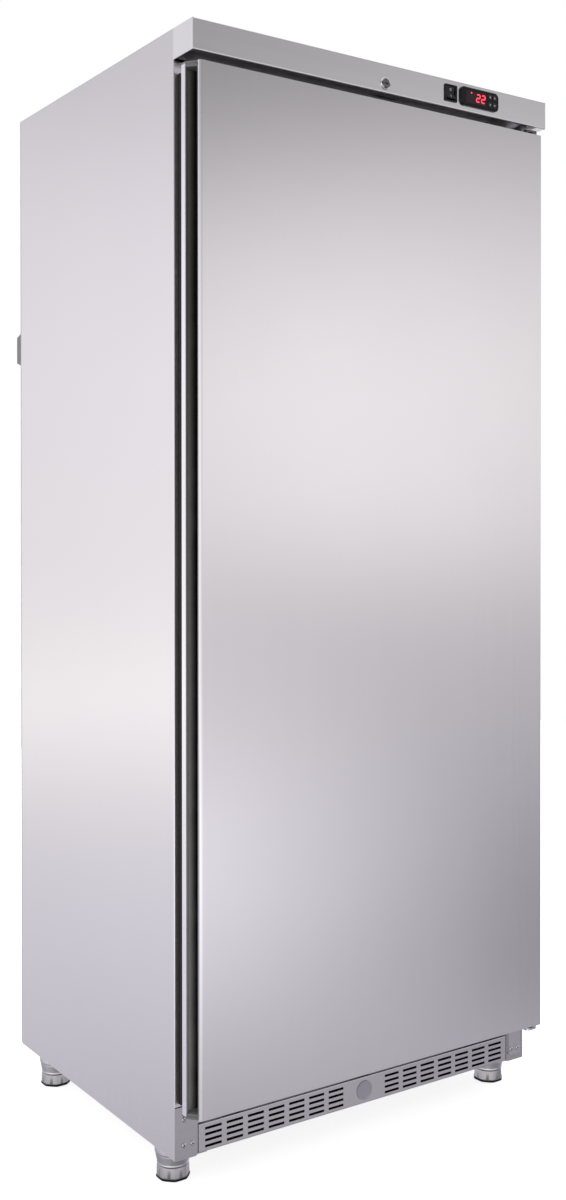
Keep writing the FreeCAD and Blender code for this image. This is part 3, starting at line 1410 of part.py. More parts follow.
def compressor(floor):
    """Compressor shell with its welded seam and foot plate, its rubber mounts and terminal cover."""
    x = -size.compressor_offset
    y = size.cabinet_depth - size.compressor_back
    radius = size.compressor_radius
    tall = size.compressor_height
    dome = size.compressor_dome
    ears = [
        (size.mount_spread_x * across, size.mount_spread_y * along)
        for across in (-1, 1)
        for along in (-1, 1)
    ]
    mounts = Piece("compressor_mounts", x=x, y=y, z=floor)
    mounts.pad("XY", 0, size.mount_height, *(polygon(a, b, size.mount_radius, 8) for a, b in ears))
    reach_x = size.mount_spread_x + size.feet_margin
    reach_y = size.mount_spread_y + size.feet_margin
    sheet_low = size.mount_height
    shell_low = sheet_low + size.feet_sheet
    shell = Piece("compressor", x=x, y=y, z=floor)
    foot_plate = clipped_box(-reach_x, -reach_y, reach_x, reach_y, size.feet_margin)
    shell.pad("XY", sheet_low, shell_low, foot_plate)
    seam = size.compressor_seam
    middle = shell_low + tall / 2
    shell_high = shell_low + tall
    shoulder = dome * (1 - math.cos(math.radians(45)))
    profile = Outline(
        (0, shell_low),
        (radius - dome, shell_low),
        (radius - shoulder, shell_low + shoulder),
        (radius, shell_low + dome),
        (radius, shell_high - dome),
        (radius - shoulder, shell_high - shoulder),
        (radius - dome, shell_high),
        (0, shell_high),
    )
    shell.revolve(profile)
    weld = polygon(0, 0, radius + seam, 12)
    shell.pad("XY", middle - seam, middle + seam, weld)
    cover = Piece("terminal_cover", x=x, y=y, z=floor)
    half = size.terminal_width / 2
    cover_low = middle - size.terminal_height / 2
    cover_high = middle + size.terminal_height / 2
    cover_front = -radius - size.terminal_depth
    outline = box(-half, cover_low, half, cover_high)
    cover.pad("XZ", cover_front, -radius / 2, outline)
    cover.cut("XY", cover_low, cover_high, weld)


def condenser(floor, front):
    """Finned condenser with its tube, and behind it the fan that draws air through it."""
    left = size.condenser_left
    deep = size.condenser_depth
    tall = size.condenser_height
    wide = size.condenser_width
    radius = size.pass_radius
    passes = int(size.pass_count)
    coil = Piece("condenser", x=left, y=front, z=floor)
    coil.pad("YZ", 0, size.fin_thick, box(0, 0, deep, tall))
    coil.repeat("X", (wide - size.fin_thick) / (size.fin_count - 1), size.fin_count)
    end = size.pass_reach
    heights = [tall / passes * (number + 0.5) for number in range(passes)]
    coil.pad("YZ", -end, wide + end, *(polygon(deep / 2, z, radius, 4) for z in heights))
    for number, (low, high) in enumerate(zip(heights, heights[1:])):
        at = wide + end - radius if number % 2 == 0 else radius - end
        coil.pad("XY", low, high, polygon(at, deep / 2, radius, 4))

    ring_back = deep + size.shroud_ring
    outer = size.fan_opening + size.shroud_thick
    arm = size.arm_width / 2
    arm_back = ring_back + size.shroud_thick
    at = {"x": left + wide / 2, "y": front, "z": floor + tall / 2}
    opening = polygon(0, 0, size.fan_opening, 16)
    shroud = Piece("fan_shroud", **at)
    half = wide / 2
    sheet = box(-half, -tall / 2, half, tall / 2)
    shroud.pad("XZ", deep, deep + size.shroud_thick, sheet, opening)
    shroud.pad("XZ", deep, arm_back, polygon(0, 0, outer, 16), opening)
    reach = size.fan_opening + size.arm_lap
    shroud.pad("XZ", ring_back, arm_back, box(-reach, -arm, reach, arm))
    shroud.pad("XZ", ring_back, arm_back, box(-arm, -reach, arm, reach))
    shaft_hole = polygon(0, 0, size.shaft_radius + size.running_fit, 8)
    shroud.cut("XZ", ring_back, arm_back, shaft_hole)

    motor = Piece("fan_motor", **at)
    motor_back = arm_back + size.motor_length
    motor.pad("XZ", arm_back, motor_back, polygon(0, 0, size.motor_radius, 8), shaft_hole)

    blades = Piece("fan_blades", **at)
    hub_middle = deep + size.shroud_ring / 2
    hub = polygon(0, 0, size.hub_radius, 10)
    blades.pad("XZ", hub_middle - size.hub_depth / 2, hub_middle + size.hub_depth / 2, hub)
    turn = math.radians(size.blade_pitch.value)
    corners = []
    for along, across in ((-1, -1), (1, -1), (1, 1), (-1, 1)):
        wide_half = size.blade_width / 2 * along
        thick_half = size.blade_thick / 2 * across
        y = hub_middle + wide_half * math.sin(turn) + thick_half * math.cos(turn)
        z = wide_half * math.cos(turn) - thick_half * math.sin(turn)
        corners.append((y, z))
    blades.pad("YZ", size.hub_radius / 2, size.blade_reach, Outline(*corners))
    blades.spin("Y", size.blade_count)
    shaft = Ring(0, 0, size.shaft_radius)
    blades.pad("XZ", hub_middle, arm_back + size.shaft_inside, shaft)


def shelves():
    """The fixed evaporator shelves: a flat coil of tube under wires, on bearers, with risers."""
    count = int(size.shelf_count)
    runs = int(size.coil_runs)
    tube = size.coil_radius
    first = named("shelf_level", STEP_TOP + size.shelf_first)
    rear = named("coil_rear", OPEN_BACK - size.coil_back_gap)
    outer_run = named("outer_run", size.coil_pitch * (size.coil_runs - 1) / 2)
    cut = size.coil_mitre
    front = size.coil_front
    points = []
    for number in range(runs):
        x = size.coil_pitch * number - outer_run
        ahead = size.coil_pitch * (number + 1) - outer_run
        towards = number % 2 == 0
        start, end = (rear - cut, front + cut) if towards else (front + cut, rear - cut)
        if number == 0:
            start = rear
        if number == runs - 1:
            end = rear
        points += [(x, start), (x, end)]
        if number < runs - 1:
            turn = front if towards else rear
            points += [(x + cut, turn), (ahead - cut, turn)]
    coil = Piece("shelf_coil", z=first)
    coil.sweep("XZ", polygon(-outer_run, 0, tube, 4), rear, Path(*points))

    wires = Piece("shelf_wires", z=first)
    wire = size.wire_width
    wire_first = front + size.wire_margin
    half = outer_run + size.coil_radius + size.wire_overhang
    level = size.coil_radius + wire / 2
    wires.pad("YZ", -half, half, polygon(wire_first, level, wire / 2, 4))
    last = rear - size.wire_margin - cut
    wires.repeat("Y", (last - wire_first) / (size.wire_count - 1), size.wire_count)

    for drawn in (coil, wires):
        PIECES.remove(drawn.body)
    for number in range(count):
        shelf = doc.addObject("Part::Compound", f"shelf_{number + 1}")
        shelf.Label = f"shelf_{number + 1}"
        shelf.Links = [coil.body, wires.body]
        bind(shelf, "Placement.Base.z", size.shelf_pitch * number)
        PIECES.append(shelf)

    bearers = Piece("shelf_bearers", z=first)
    steel = size.bearer_steel
    under = -size.coil_radius
    bearer_front = front + size.bearer_inset
    bearer_back = rear - size.bearer_inset
    angles = []
    for number in range(count):
        low = under + size.shelf_pitch * number
        for sign in (-1, 1):
            wall = INNER_HALF * sign
            edge = (INNER_HALF - size.bearer_lap) * sign
            inner = (INNER_HALF - steel) * sign
            angle = Outline(
                (edge, low - steel),
                (wall, low - steel),
                (wall, low - steel + size.bearer_rise),
                (inner, low - steel + size.bearer_rise),
                (inner, low),
                (edge, low),
            )
            angles.append(angle)
    bearers.pad("XZ", bearer_front, bearer_back, *angles)

    risers = Piece("evaporator_risers", z=first)
    centre = rear + size.coil_radius
    for number in range(count - 1):
        x = outer_run if number % 2 == 0 else -outer_run
        low = size.shelf_pitch * number - size.coil_radius
        high = size.shelf_pitch * (number + 1) + size.coil_radius
        risers.pad("XY", low, high, polygon(x, centre, tube, 4))
    top = size.shelf_pitch * (count - 1)
    last_x = -outer_run if count % 2 == 0 else outer_run
    ends = (polygon(-outer_run, 0, tube, 4), polygon(last_x, top, tube, 4))
    risers.pad("XZ", rear, OPEN_BACK, *ends)


cabinet_sheets()
insulated_box()
fascia()
lock()
switch()
controller()
door()
hinges()
front_base()
base()
rear()
machine_bay()
shelves()

doc.recompute()
failed = [item.Name for item in doc.Objects if {"Invalid", "Error"} & set(item.State)]
if failed:
    raise RuntimeError(f"failed features: {failed}")
for piece in PIECES:
    if piece.Shape.isNull() or not piece.Shape.isValid():
        raise RuntimeError(f"{piece.Label} has no valid shape")
os.makedirs("parts", exist_ok=True)
for piece in PIECES:
    piece.Shape.exportStep(f"parts/{piece.Label}.step")
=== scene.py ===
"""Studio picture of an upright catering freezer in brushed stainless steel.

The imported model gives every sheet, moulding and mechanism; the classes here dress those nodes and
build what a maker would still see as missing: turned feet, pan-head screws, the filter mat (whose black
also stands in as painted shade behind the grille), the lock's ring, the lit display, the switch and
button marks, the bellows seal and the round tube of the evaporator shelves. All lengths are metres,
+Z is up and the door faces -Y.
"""

from __future__ import annotations

import logging
import math
from dataclasses import dataclass
from enum import Enum
from functools import cached_property
from typing import ClassVar, Sequence

import bmesh
import bpy
import numpy as np
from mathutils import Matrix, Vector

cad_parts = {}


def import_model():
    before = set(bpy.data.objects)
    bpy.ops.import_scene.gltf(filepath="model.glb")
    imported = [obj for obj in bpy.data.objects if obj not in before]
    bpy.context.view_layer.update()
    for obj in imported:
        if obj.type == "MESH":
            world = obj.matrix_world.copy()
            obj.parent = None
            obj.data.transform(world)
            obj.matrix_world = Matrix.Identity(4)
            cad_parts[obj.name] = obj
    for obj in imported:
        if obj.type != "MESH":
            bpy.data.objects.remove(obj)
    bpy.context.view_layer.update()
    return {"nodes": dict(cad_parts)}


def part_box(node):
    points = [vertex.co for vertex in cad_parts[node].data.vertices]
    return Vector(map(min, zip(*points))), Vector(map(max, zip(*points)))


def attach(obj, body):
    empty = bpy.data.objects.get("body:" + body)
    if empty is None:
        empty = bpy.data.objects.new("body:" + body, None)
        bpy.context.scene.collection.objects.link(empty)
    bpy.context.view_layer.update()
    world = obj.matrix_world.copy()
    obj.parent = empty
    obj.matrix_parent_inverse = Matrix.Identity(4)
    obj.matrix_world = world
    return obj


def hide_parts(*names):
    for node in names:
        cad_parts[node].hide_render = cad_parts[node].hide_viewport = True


LOG = logging.getLogger("freezer")
Colour = tuple[float, float, float]
Socket = bpy.types.NodeSocket
Outputs = bpy.types.NodeOutputs
Tree = bpy.types.NodeTree
Recipe = dict[str, object]
FULL_TURN = 2.0 * math.pi
WHITE: Colour = (1.0, 1.0, 1.0)
DUST_ON_STEEL: Colour = (0.55, 0.54, 0.52)
DUST_ON_PLASTIC: Colour = (0.42, 0.41, 0.39)


@dataclass(frozen=True)
class Datum:
    """Places that several sub-assemblies share."""

    half_width: float = 0.3885
    front: float = -0.28285
    fascia_front: float = -0.34485


DATUM = Datum()


# --------------------------------------------------------------------------------------------
# Node trees
# --------------------------------------------------------------------------------------------


class Graph:
    """A short hand for building one node tree."""

    def __init__(self, tree: Tree) -> None:
        """Start with the tree of a material, a world or a group, emptied."""
        self.tree = tree
        tree.nodes.clear()

    def put(self, target: Socket, value: object) -> None:
        """Give an input its value: a socket is linked, a colour gets its alpha, a number is set.

        Args:
            target: The input.
            value: A socket, a colour, a vector or a number.
        """
        if isinstance(value, Socket):
            self.tree.links.new(value, target)
        else:
            target.default_value = (*value, 1.0) if target.type == "RGBA" else value

    def node(
        self, kind: str, values: dict[str | int, object] | None = None, **settings: object
    ) -> bpy.types.Node:
        """Add a node.

        Args:
            kind: The node's type, less the words ShaderNode.
            values: What its inputs get, by name or number: a socket, a colour or a number.
            settings: Attributes of the node itself.

        Returns:
            The new node.
        """
        made = self.tree.nodes.new(f"ShaderNode{kind}")
        for name, value in settings.items():
            setattr(made, name, value)
        for name, value in (values or {}).items():
            self.put(made.inputs[name], value)
        return made

    def math(self, operation: str, first: object, second: object) -> Socket:
        """Join two sockets or numbers by an operation of the Math node, such as MULTIPLY."""
        return self.node("Math", {0: first, 1: second}, operation=operation).outputs["Value"]

    def carry(
        self,
        value: Socket,
        start: tuple[float, float] = (0.0, 1.0),
        end: tuple[float, float] = (0.0, 1.0),
        interpolation: str = "LINEAR",
    ) -> Socket:
        """Carry a value from one range onto another.

        Args:
            value: The value.
            start: The range that it comes from.
            end: The range that it goes to.
            interpolation: How it runs between them, such as SMOOTHSTEP.

        Returns:
            The value in its new range.
        """
        ranges = dict(zip(("From Min", "From Max", "To Min", "To Max"), (*start, *end)))
        made = self.node("MapRange", {"Value": value, **ranges}, interpolation_type=interpolation)
        return made.outputs["Result"]

    def clamp(self, value: Socket) -> Socket:
        """Keep a value between 0 and 1."""
        return self.node("Clamp", {"Value": value}).outputs["Result"]

    def blend(self, mask: Socket, first: object, second: object) -> Socket:
        """Blend two colours or sockets by a mask, where 0 gives the first and 1 the second."""
        made = self.node("Mix", {"Factor": mask, "A": first, "B": second}, data_type="RGBA")
        return made.outputs["Result"]

    def noise(self, vector: Socket, **values: object) -> Socket:
        """A noise of about 0 to 1, from the inputs of its node by name."""
        return self.node("TexNoise", {"Vector": vector, **values}).outputs["Fac"]

    def split(self, vector: Socket) -> Outputs:
        """Take a vector apart into its X, Y and Z."""
        return self.node("SeparateXYZ", {"Vector": vector}).outputs

    def scaled(self, vector: Socket, factor: object) -> Socket:
        """Scale a vector or a colour by a factor."""
        return self.node("VectorMath", {0: vector, "Scale": factor}, operation="SCALE").outputs["Vector"]

    def group(self, tree: Tree, vector: Socket, **values: float) -> Outputs:
        """Place a shader group with numbers for its inputs, and return its outputs."""
        return self.node("Group", {"Vector": vector, **values}, node_tree=tree).outputs

    def place(self, turn: tuple[float, float, float] = (0.0, 0.0, 0.0)) -> Socket:
        """The object's own coordinates, turned if asked.

        Args:
            turn: Degrees about X, Y and Z.

        Returns:
            The vector output.
        """
        source = self.node("TexCoord").outputs["Object"]
        if not any(turn):
            return source
        turned_by = tuple(math.radians(angle) for angle in turn)
        return self.node("Mapping", {"Vector": source, "Rotation": turned_by}).outputs["Vector"]

    def relief(self, height: Socket, depth: float, strength: float) -> Socket:
        """A bumped normal, whose height of 1 is a depth in metres and shows by its strength."""
        values = {"Height": height, "Distance": depth, "Strength": strength}
        return self.node("Bump", values).outputs["Normal"]

    def dusty(self, colour: Socket, dust: Colour, amount: float) -> Socket:
        """Lay dust on a colour where faces look up.

        Args:
            colour: The colour under it.
            dust: The dust's colour.
            amount: How much lies there, or 0 for none.

        Returns:
            The colour with its dust.
        """
        if not amount:
            return colour
        return self.blend(self.group(EFFECTS.dust, self.place(), Amount=amount)["Dust"], colour, dust)


class Effects:
    """The shader groups that more than one finish uses, each built once, on its first use."""

    def start(self, name: str, **inputs: float) -> tuple[Graph, Outputs]:
        """Open a new group.

        Args:
            name: The group's name.
            inputs: Its number inputs with their defaults, after a Vector input.

        Returns:
            The group's graph and what it is given.
        """
        tree = bpy.data.node_groups.new(name, "ShaderNodeTree")
        graph = Graph(tree)
        tree.interface.new_socket("Vector", in_out="INPUT", socket_type="NodeSocketVector")
        for title, value in inputs.items():
            socket = tree.interface.new_socket(title, in_out="INPUT", socket_type="NodeSocketFloat")
            socket.default_value = value
        return graph, tree.nodes.new("NodeGroupInput").outputs

    def end(self, graph: Graph, **results: Socket) -> Tree:
        """Close a group.

        Args:
            graph: The group's graph.
            results: What its number outputs put out, by name.

        Returns:
            The group's tree.
        """
        for title in results:
            graph.tree.interface.new_socket(title, in_out="OUTPUT", socket_type="NodeSocketFloat")
        made = graph.tree.nodes.new("NodeGroupOutput")
        for title, value in results.items():
            graph.put(made.inputs[title], value)
        return graph.tree

    @cached_property
    def brushing(self) -> Tree:
        """Long fine grain along Z, with slow clouds in it.

        Returns:
            A group with outputs Streak, Cloud and Height, each about 0 to 1.
        """
        graph, given = self.start("brushing", Across=700.0, Along=5.0, Clouds=3.0)
        scale = graph.node("CombineXYZ", {"X": given["Across"], "Y": given["Across"], "Z": given["Along"]})
        pair = {0: given["Vector"], 1: scale.outputs["Vector"]}
        stretched = graph.node("VectorMath", pair, operation="MULTIPLY").outputs["Vector"]
        fine = graph.noise(stretched, Scale=1.0, Detail=3.0, Roughness=0.6)
        broad = graph.noise(stretched, Scale=0.12, Detail=2.0, Roughness=0.5)
        values = {"Scale": given["Clouds"], "Detail": 4.0, "Roughness": 0.45, "Distortion": 0.3}
        cloud = graph.noise(given["Vector"], **values)
        streak = graph.math("MULTIPLY", graph.math("ADD", fine, broad), 0.5)
        return self.end(graph, Streak=streak, Cloud=cloud, Height=fine)

    @cached_property
    def handling(self) -> Tree:
        """Rub marks that fade out above a height, and smudges.

        Returns:
            A group with outputs Rub and Smudge, each 0 to 1.
        """
        graph, given = self.start("handling", Scale=40.0, Below=0.25, Fade=0.2)
        drop = graph.math("SUBTRACT", given["Below"], graph.split(given["Vector"])["Z"])
        low = graph.clamp(graph.math("DIVIDE", drop, given["Fade"]))
        marks = graph.noise(given["Vector"], Scale=given["Scale"], Detail=6.0, Roughness=0.7)
        rub = graph.math("MULTIPLY", graph.carry(marks, (0.58, 0.72)), low)
        smudge = graph.noise(given["Vector"], Scale=7.0, Detail=3.0, Roughness=0.55)
        return self.end(graph, Rub=rub, Smudge=smudge)

    @cached_property
    def moulding(self) -> Tree:
        """The fine spark-eroded grain of moulded plastic and its slow mottle.

        Returns:
            A group with outputs Height and Mottle, each about 0 to 1.
        """
        graph, given = self.start("moulding", Grit=1800.0, Patch=30.0)
        values = {"Vector": given["Vector"], "Scale": given["Grit"]}
        grit = graph.node("TexVoronoi", values, feature="SMOOTH_F1").outputs["Distance"]
        mottle = graph.noise(given["Vector"], Scale=given["Patch"], Detail=3.0, Roughness=0.5)
        return self.end(graph, Height=grit, Mottle=mottle)

    @cached_property
    def dust(self) -> Tree:
        """Dust that lies on faces that look up.

        Returns:
            A group with output Dust, 0 to 1.
        """
        graph, given = self.start("dust", Scale=60.0, Amount=0.4)
        facing = graph.split(graph.node("NewGeometry").outputs["Normal"])
        upward = graph.carry(facing["Z"], (0.6, 0.98))
        specks = graph.noise(given["Vector"], Scale=given["Scale"], Detail=5.0, Roughness=0.65)
        settled = graph.math("MULTIPLY", upward, specks)
        return self.end(graph, Dust=graph.math("MULTIPLY", settled, given["Amount"]))

    @cached_property
    def bends(self) -> Tree:
        """Where a sheet turns: the faces that look along none of the three axes, the mask of the painted
        highlight on bends.

        Returns:
            A group with output Bend, 0 on flats and 1 in the middle of a bend.
        """
        graph, given = self.start("bends", Sharpness=4.0)
        size = graph.node("VectorMath", {0: given["Vector"]}, operation="ABSOLUTE").outputs["Vector"]
        parts = graph.split(size)
        most = graph.math("MAXIMUM", graph.math("MAXIMUM", parts["X"], parts["Y"]), parts["Z"])
        turned_by = graph.math("MULTIPLY", graph.math("SUBTRACT", 1.0, most), given["Sharpness"])
        return self.end(graph, Bend=graph.clamp(turned_by))


EFFECTS = Effects()


# --------------------------------------------------------------------------------------------
# Finishes
# --------------------------------------------------------------------------------------------


class Grain(Enum):
    """The way a sheet's brushing runs, as turns in degrees of the grain pattern."""

    UPRIGHT = (0.0, 0.0, 0.0)
    ACROSS = (0.0, 90.0, 0.0)
    DEEP = (90.0, 0.0, 0.0)


@dataclass(frozen=True)
class Finish:
    """A finish: a name, and a recipe for one Principled shader."""

    name: str

    def recipe(self, graph: Graph) -> Recipe:
        """What the shader's inputs get, by name, with the nodes for it added to the graph."""
        raise NotImplementedError

    def material(self) -> bpy.types.Material:
        """Build the finish.

        Returns:
            A material with one Principled shader, whose inputs get what the recipe gives.
        """
        material = bpy.data.materials.new(self.name)
        material.use_nodes = True
        graph = Graph(material.node_tree)
        shader = graph.node("BsdfPrincipled", self.recipe(graph))
        graph.node("OutputMaterial", {"Surface": shader.outputs["BSDF"]})
        return material


@dataclass(frozen=True)
class BrushedSheet(Finish):
    """Brushed or polished stainless sheet: grain, clouds, a painted highlight on its bends, rub marks and
    dust.
    """

    dark: Colour
    light: Colour
    roughness: float
    spread: float = 0.06
    anisotropy: float = 0.0
    grain: Grain = Grain.UPRIGHT
    across: float = 700.0
    along: float = 5.0
    bump: float = 0.12
    cloud: float = 0.35
    dust: float = 0.0
    # painted highlight: the pale colour that faces on a bend take, for the light caught along it
    bend: Colour = (0.96, 0.94, 0.98)
    grain_depth: float = 0.00002
    rub: float = 0.12
    smear: float = 0.03

    def recipe(self, graph: Graph) -> Recipe:
        """Tone and roughness follow one mask of streaks and clouds.

        Args:
            graph: The material's graph.

        Returns:
            What the shader's inputs get, by name.
        """
        turned_by = graph.place(self.grain.value)
        grain = graph.group(EFFECTS.brushing, turned_by, Across=self.across, Along=self.along)
        handled = graph.group(EFFECTS.handling, graph.place())
        streaks = graph.math("MULTIPLY", grain["Streak"], 1.0 - self.cloud)
        mask = graph.math("ADD", streaks, graph.math("MULTIPLY", grain["Cloud"], self.cloud))
        # painted highlight: faces on a bend are blended towards the pale bend colour
        bend = graph.group(EFFECTS.bends, graph.node("TexCoord").outputs["Normal"])["Bend"]
        colour = graph.blend(bend, graph.blend(mask, self.dark, self.light), self.bend)
        rough = graph.carry(mask, end=(self.roughness - self.spread, self.roughness + self.spread))
        worn = graph.math("ADD", rough, graph.math("MULTIPLY", handled["Rub"], self.rub))
        smeared = graph.math("MULTIPLY", handled["Smudge"], self.smear)
        recipe = {
            "Base Color": graph.dusty(colour, DUST_ON_STEEL, self.dust),
            "Metallic": 1.0,
            "Roughness": graph.math("ADD", worn, smeared),
            "Normal": graph.relief(grain["Height"], self.grain_depth, self.bump),
        }
        if self.anisotropy:
            tangent = graph.node("Tangent", direction_type="RADIAL", axis="Z").outputs["Tangent"]
            recipe.update({"Anisotropic": self.anisotropy, "Tangent": tangent})
        return recipe


@dataclass(frozen=True)
class Moulded(Finish):
    """Moulded plastic or rubber: a fine grain and a slow change of tone."""

    dark: Colour
    light: Colour
    roughness: float
    gloss_coat: float = 0.0
    grit: float = 1800.0
    bump: float = 0.25
    mottle: float = 30.0
    dust: float = 0.0
    shine: float = 0.5
    spread: float = 0.05
    coat_roughness: float = 0.12
    grain_depth: float = 0.00006

    def recipe(self, graph: Graph) -> Recipe:
        """Tone and roughness follow the mottle.

        Args:
            graph: The material's graph.

        Returns:
            What the shader's inputs get, by name.
        """
        skin = graph.group(EFFECTS.moulding, graph.place(), Grit=self.grit, Patch=self.mottle)
        rough = (self.roughness - self.spread, self.roughness + self.spread)
        colour = graph.blend(skin["Mottle"], self.dark, self.light)
        return {
            "Base Color": graph.dusty(colour, DUST_ON_PLASTIC, self.dust),
            "Roughness": graph.carry(skin["Mottle"], end=rough),
            "Specular IOR Level": self.shine,
            "Coat Weight": self.gloss_coat,
            "Coat Roughness": self.coat_roughness,
            "Normal": graph.relief(skin["Height"], self.grain_depth, self.bump),
        }


@dataclass(frozen=True)
class ShadedChannel(Finish):
    """A folded channel with painted light and shade: pale beside the edge strip and dark in its depth."""

    painted_light_low: Colour
    painted_light_high: Colour
    dark_and_painted_shade: Colour
    strip_x: float = -0.3845
    deep_x: float = -0.3600
    low: float = 0.5
    high: float = 1.5
    waver: float = 0.004
    roughness: tuple[float, float] = (0.4, 0.55)

    def recipe(self, graph: Graph) -> Recipe:
        """Painted shade: the tone falls from the edge strip into the channel, less so low down, where
        painted light keeps it pale.

        Args:
            graph: The material's graph.

        Returns:
            What the shader's inputs get, by name.
        """
        place = graph.place()
        skin = graph.group(EFFECTS.moulding, place, Grit=1500.0, Patch=25.0)
        parts = graph.split(place)
        uneven = graph.math("MULTIPLY", graph.math("SUBTRACT", skin["Mottle"], 0.5), self.waver)
        side = graph.math("ADD", parts["X"], uneven)
        # painted shade: darker from the edge strip into the channel's depth
        across = graph.carry(side, (self.strip_x, self.deep_x), interpolation="SMOOTHSTEP")
        # painted light: the pale end is paler low down
        pale = graph.blend(graph.carry(parts["Z"], (self.low, self.high)), self.painted_light_low, self.painted_light_high)
        return {
            "Base Color": graph.blend(across, pale, self.dark_and_painted_shade),
            "Specular IOR Level": 0.2,
            "Roughness": graph.carry(skin["Mottle"], end=self.roughness),
            "Normal": graph.relief(skin["Height"], 0.00004, 0.2),
        }


@dataclass(frozen=True)
class Plated(Finish):
    """Zinc-plated or galvanised steel, enamel or cast metal: crystal cells and a little rubbing."""

    dark: Colour
    light: Colour
    roughness: float
    spangle: float = 90.0
    metallic: float = 1.0
    bump: float = 0.1
    spread: float = 0.08
    rub: float = 0.1
    rub_below: float = 3.0

    def recipe(self, graph: Graph) -> Recipe:
        """Each cell has its own tone and roughness.

        Args:
            graph: The material's graph.

        Returns:
            What the shader's inputs get, by name.
        """
        place = graph.place()
        cells = graph.node("TexVoronoi", {"Vector": place, "Scale": self.spangle}).outputs
        tones = graph.node("SeparateColor", {"Color": cells["Color"]}).outputs
        rub = graph.group(EFFECTS.handling, place, Below=self.rub_below)["Rub"]
        rough = graph.carry(tones["Green"], end=(self.roughness - self.spread, self.roughness + self.spread))
        return {
            "Base Color": graph.blend(tones["Red"], self.dark, self.light),
            "Metallic": self.metallic,
            "Roughness": graph.math("SUBTRACT", rough, graph.math("MULTIPLY", rub, self.rub)),
            "Normal": graph.relief(cells["Distance"], 0.00005, self.bump),
        }


@dataclass(frozen=True)
class Foam(Finish):
    """Rigid poured foam with its open cells."""

    dark: Colour
    light: Colour

    def recipe(self, graph: Graph) -> Recipe:
        """Fine pores over slow swells.

        Args:
            graph: The material's graph.

        Returns:
            What the shader's inputs get, by name.
        """
        place = graph.place()
        pores = graph.node("TexVoronoi", {"Vector": place, "Scale": 900.0}).outputs["Distance"]
        swell = graph.noise(place, Scale=40.0, Detail=4.0)
        return {
            "Base Color": graph.blend(swell, self.dark, self.light),
            "Roughness": 0.9,
            "Normal": graph.relief(pores, 0.0004, 0.6),
        }


@dataclass(frozen=True)
class Lamp(Finish):
    """A lit segment, mark or signal lamp."""

    colour: Colour
    glow: float
    body: Colour = (0.02, 0.0, 0.0)
    dimmest: float = 0.85

    def recipe(self, graph: Graph) -> Recipe:
        """A dim body whose light varies a little over it.

        Args:
            graph: The material's graph.

        Returns:
            What the shader's inputs get, by name.
        """
        patch = graph.noise(graph.place(), Scale=900.0, Detail=1.0)
        low = tuple(part * self.dimmest for part in self.colour)
        return {
            "Base Color": self.body,
            "Roughness": 0.3,
            "Emission Color": graph.blend(patch, low, self.colour),
            "Emission Strength": self.glow,
        }


@dataclass(frozen=True)
class Printed(Finish):
    """Printed ink, or painted shade in a recess, slightly uneven."""

    dark: Colour
    light: Colour
    roughness: float = 0.45

    def recipe(self, graph: Graph) -> Recipe:
        """Only the tone varies.

        Args:
            graph: The material's graph.

        Returns:
            What the shader's inputs get, by name.
        """
        ink = graph.noise(graph.place(), Scale=1200.0, Detail=2.0)
        return {"Base Color": graph.blend(ink, self.dark, self.light), "Roughness": self.roughness}


@dataclass(frozen=True)
class PaleFloor(Finish):
    """A matt floor that glows towards the camera alone, so that it reads white but keeps a shade."""

    albedo: float = 0.8
    mottled: float = 0.98
    glow: float = 0.80

    def recipe(self, graph: Graph) -> Recipe:
        """A slow mottle, and light for camera rays.

        Args:
            graph: The material's graph.

        Returns:
            What the shader's inputs get, by name.
        """
        mottle = graph.noise(graph.place(), Scale=1.5, Detail=2.0)
        seen = graph.node("LightPath").outputs["Is Camera Ray"]
        return {
            "Base Color": graph.blend(mottle, (self.albedo * self.mottled,) * 3, (self.albedo,) * 3),
            "Roughness": 1.0,
            "Specular IOR Level": 0.0,
            "Emission Color": WHITE,
            "Emission Strength": graph.math("MULTIPLY", seen, self.glow),
        }


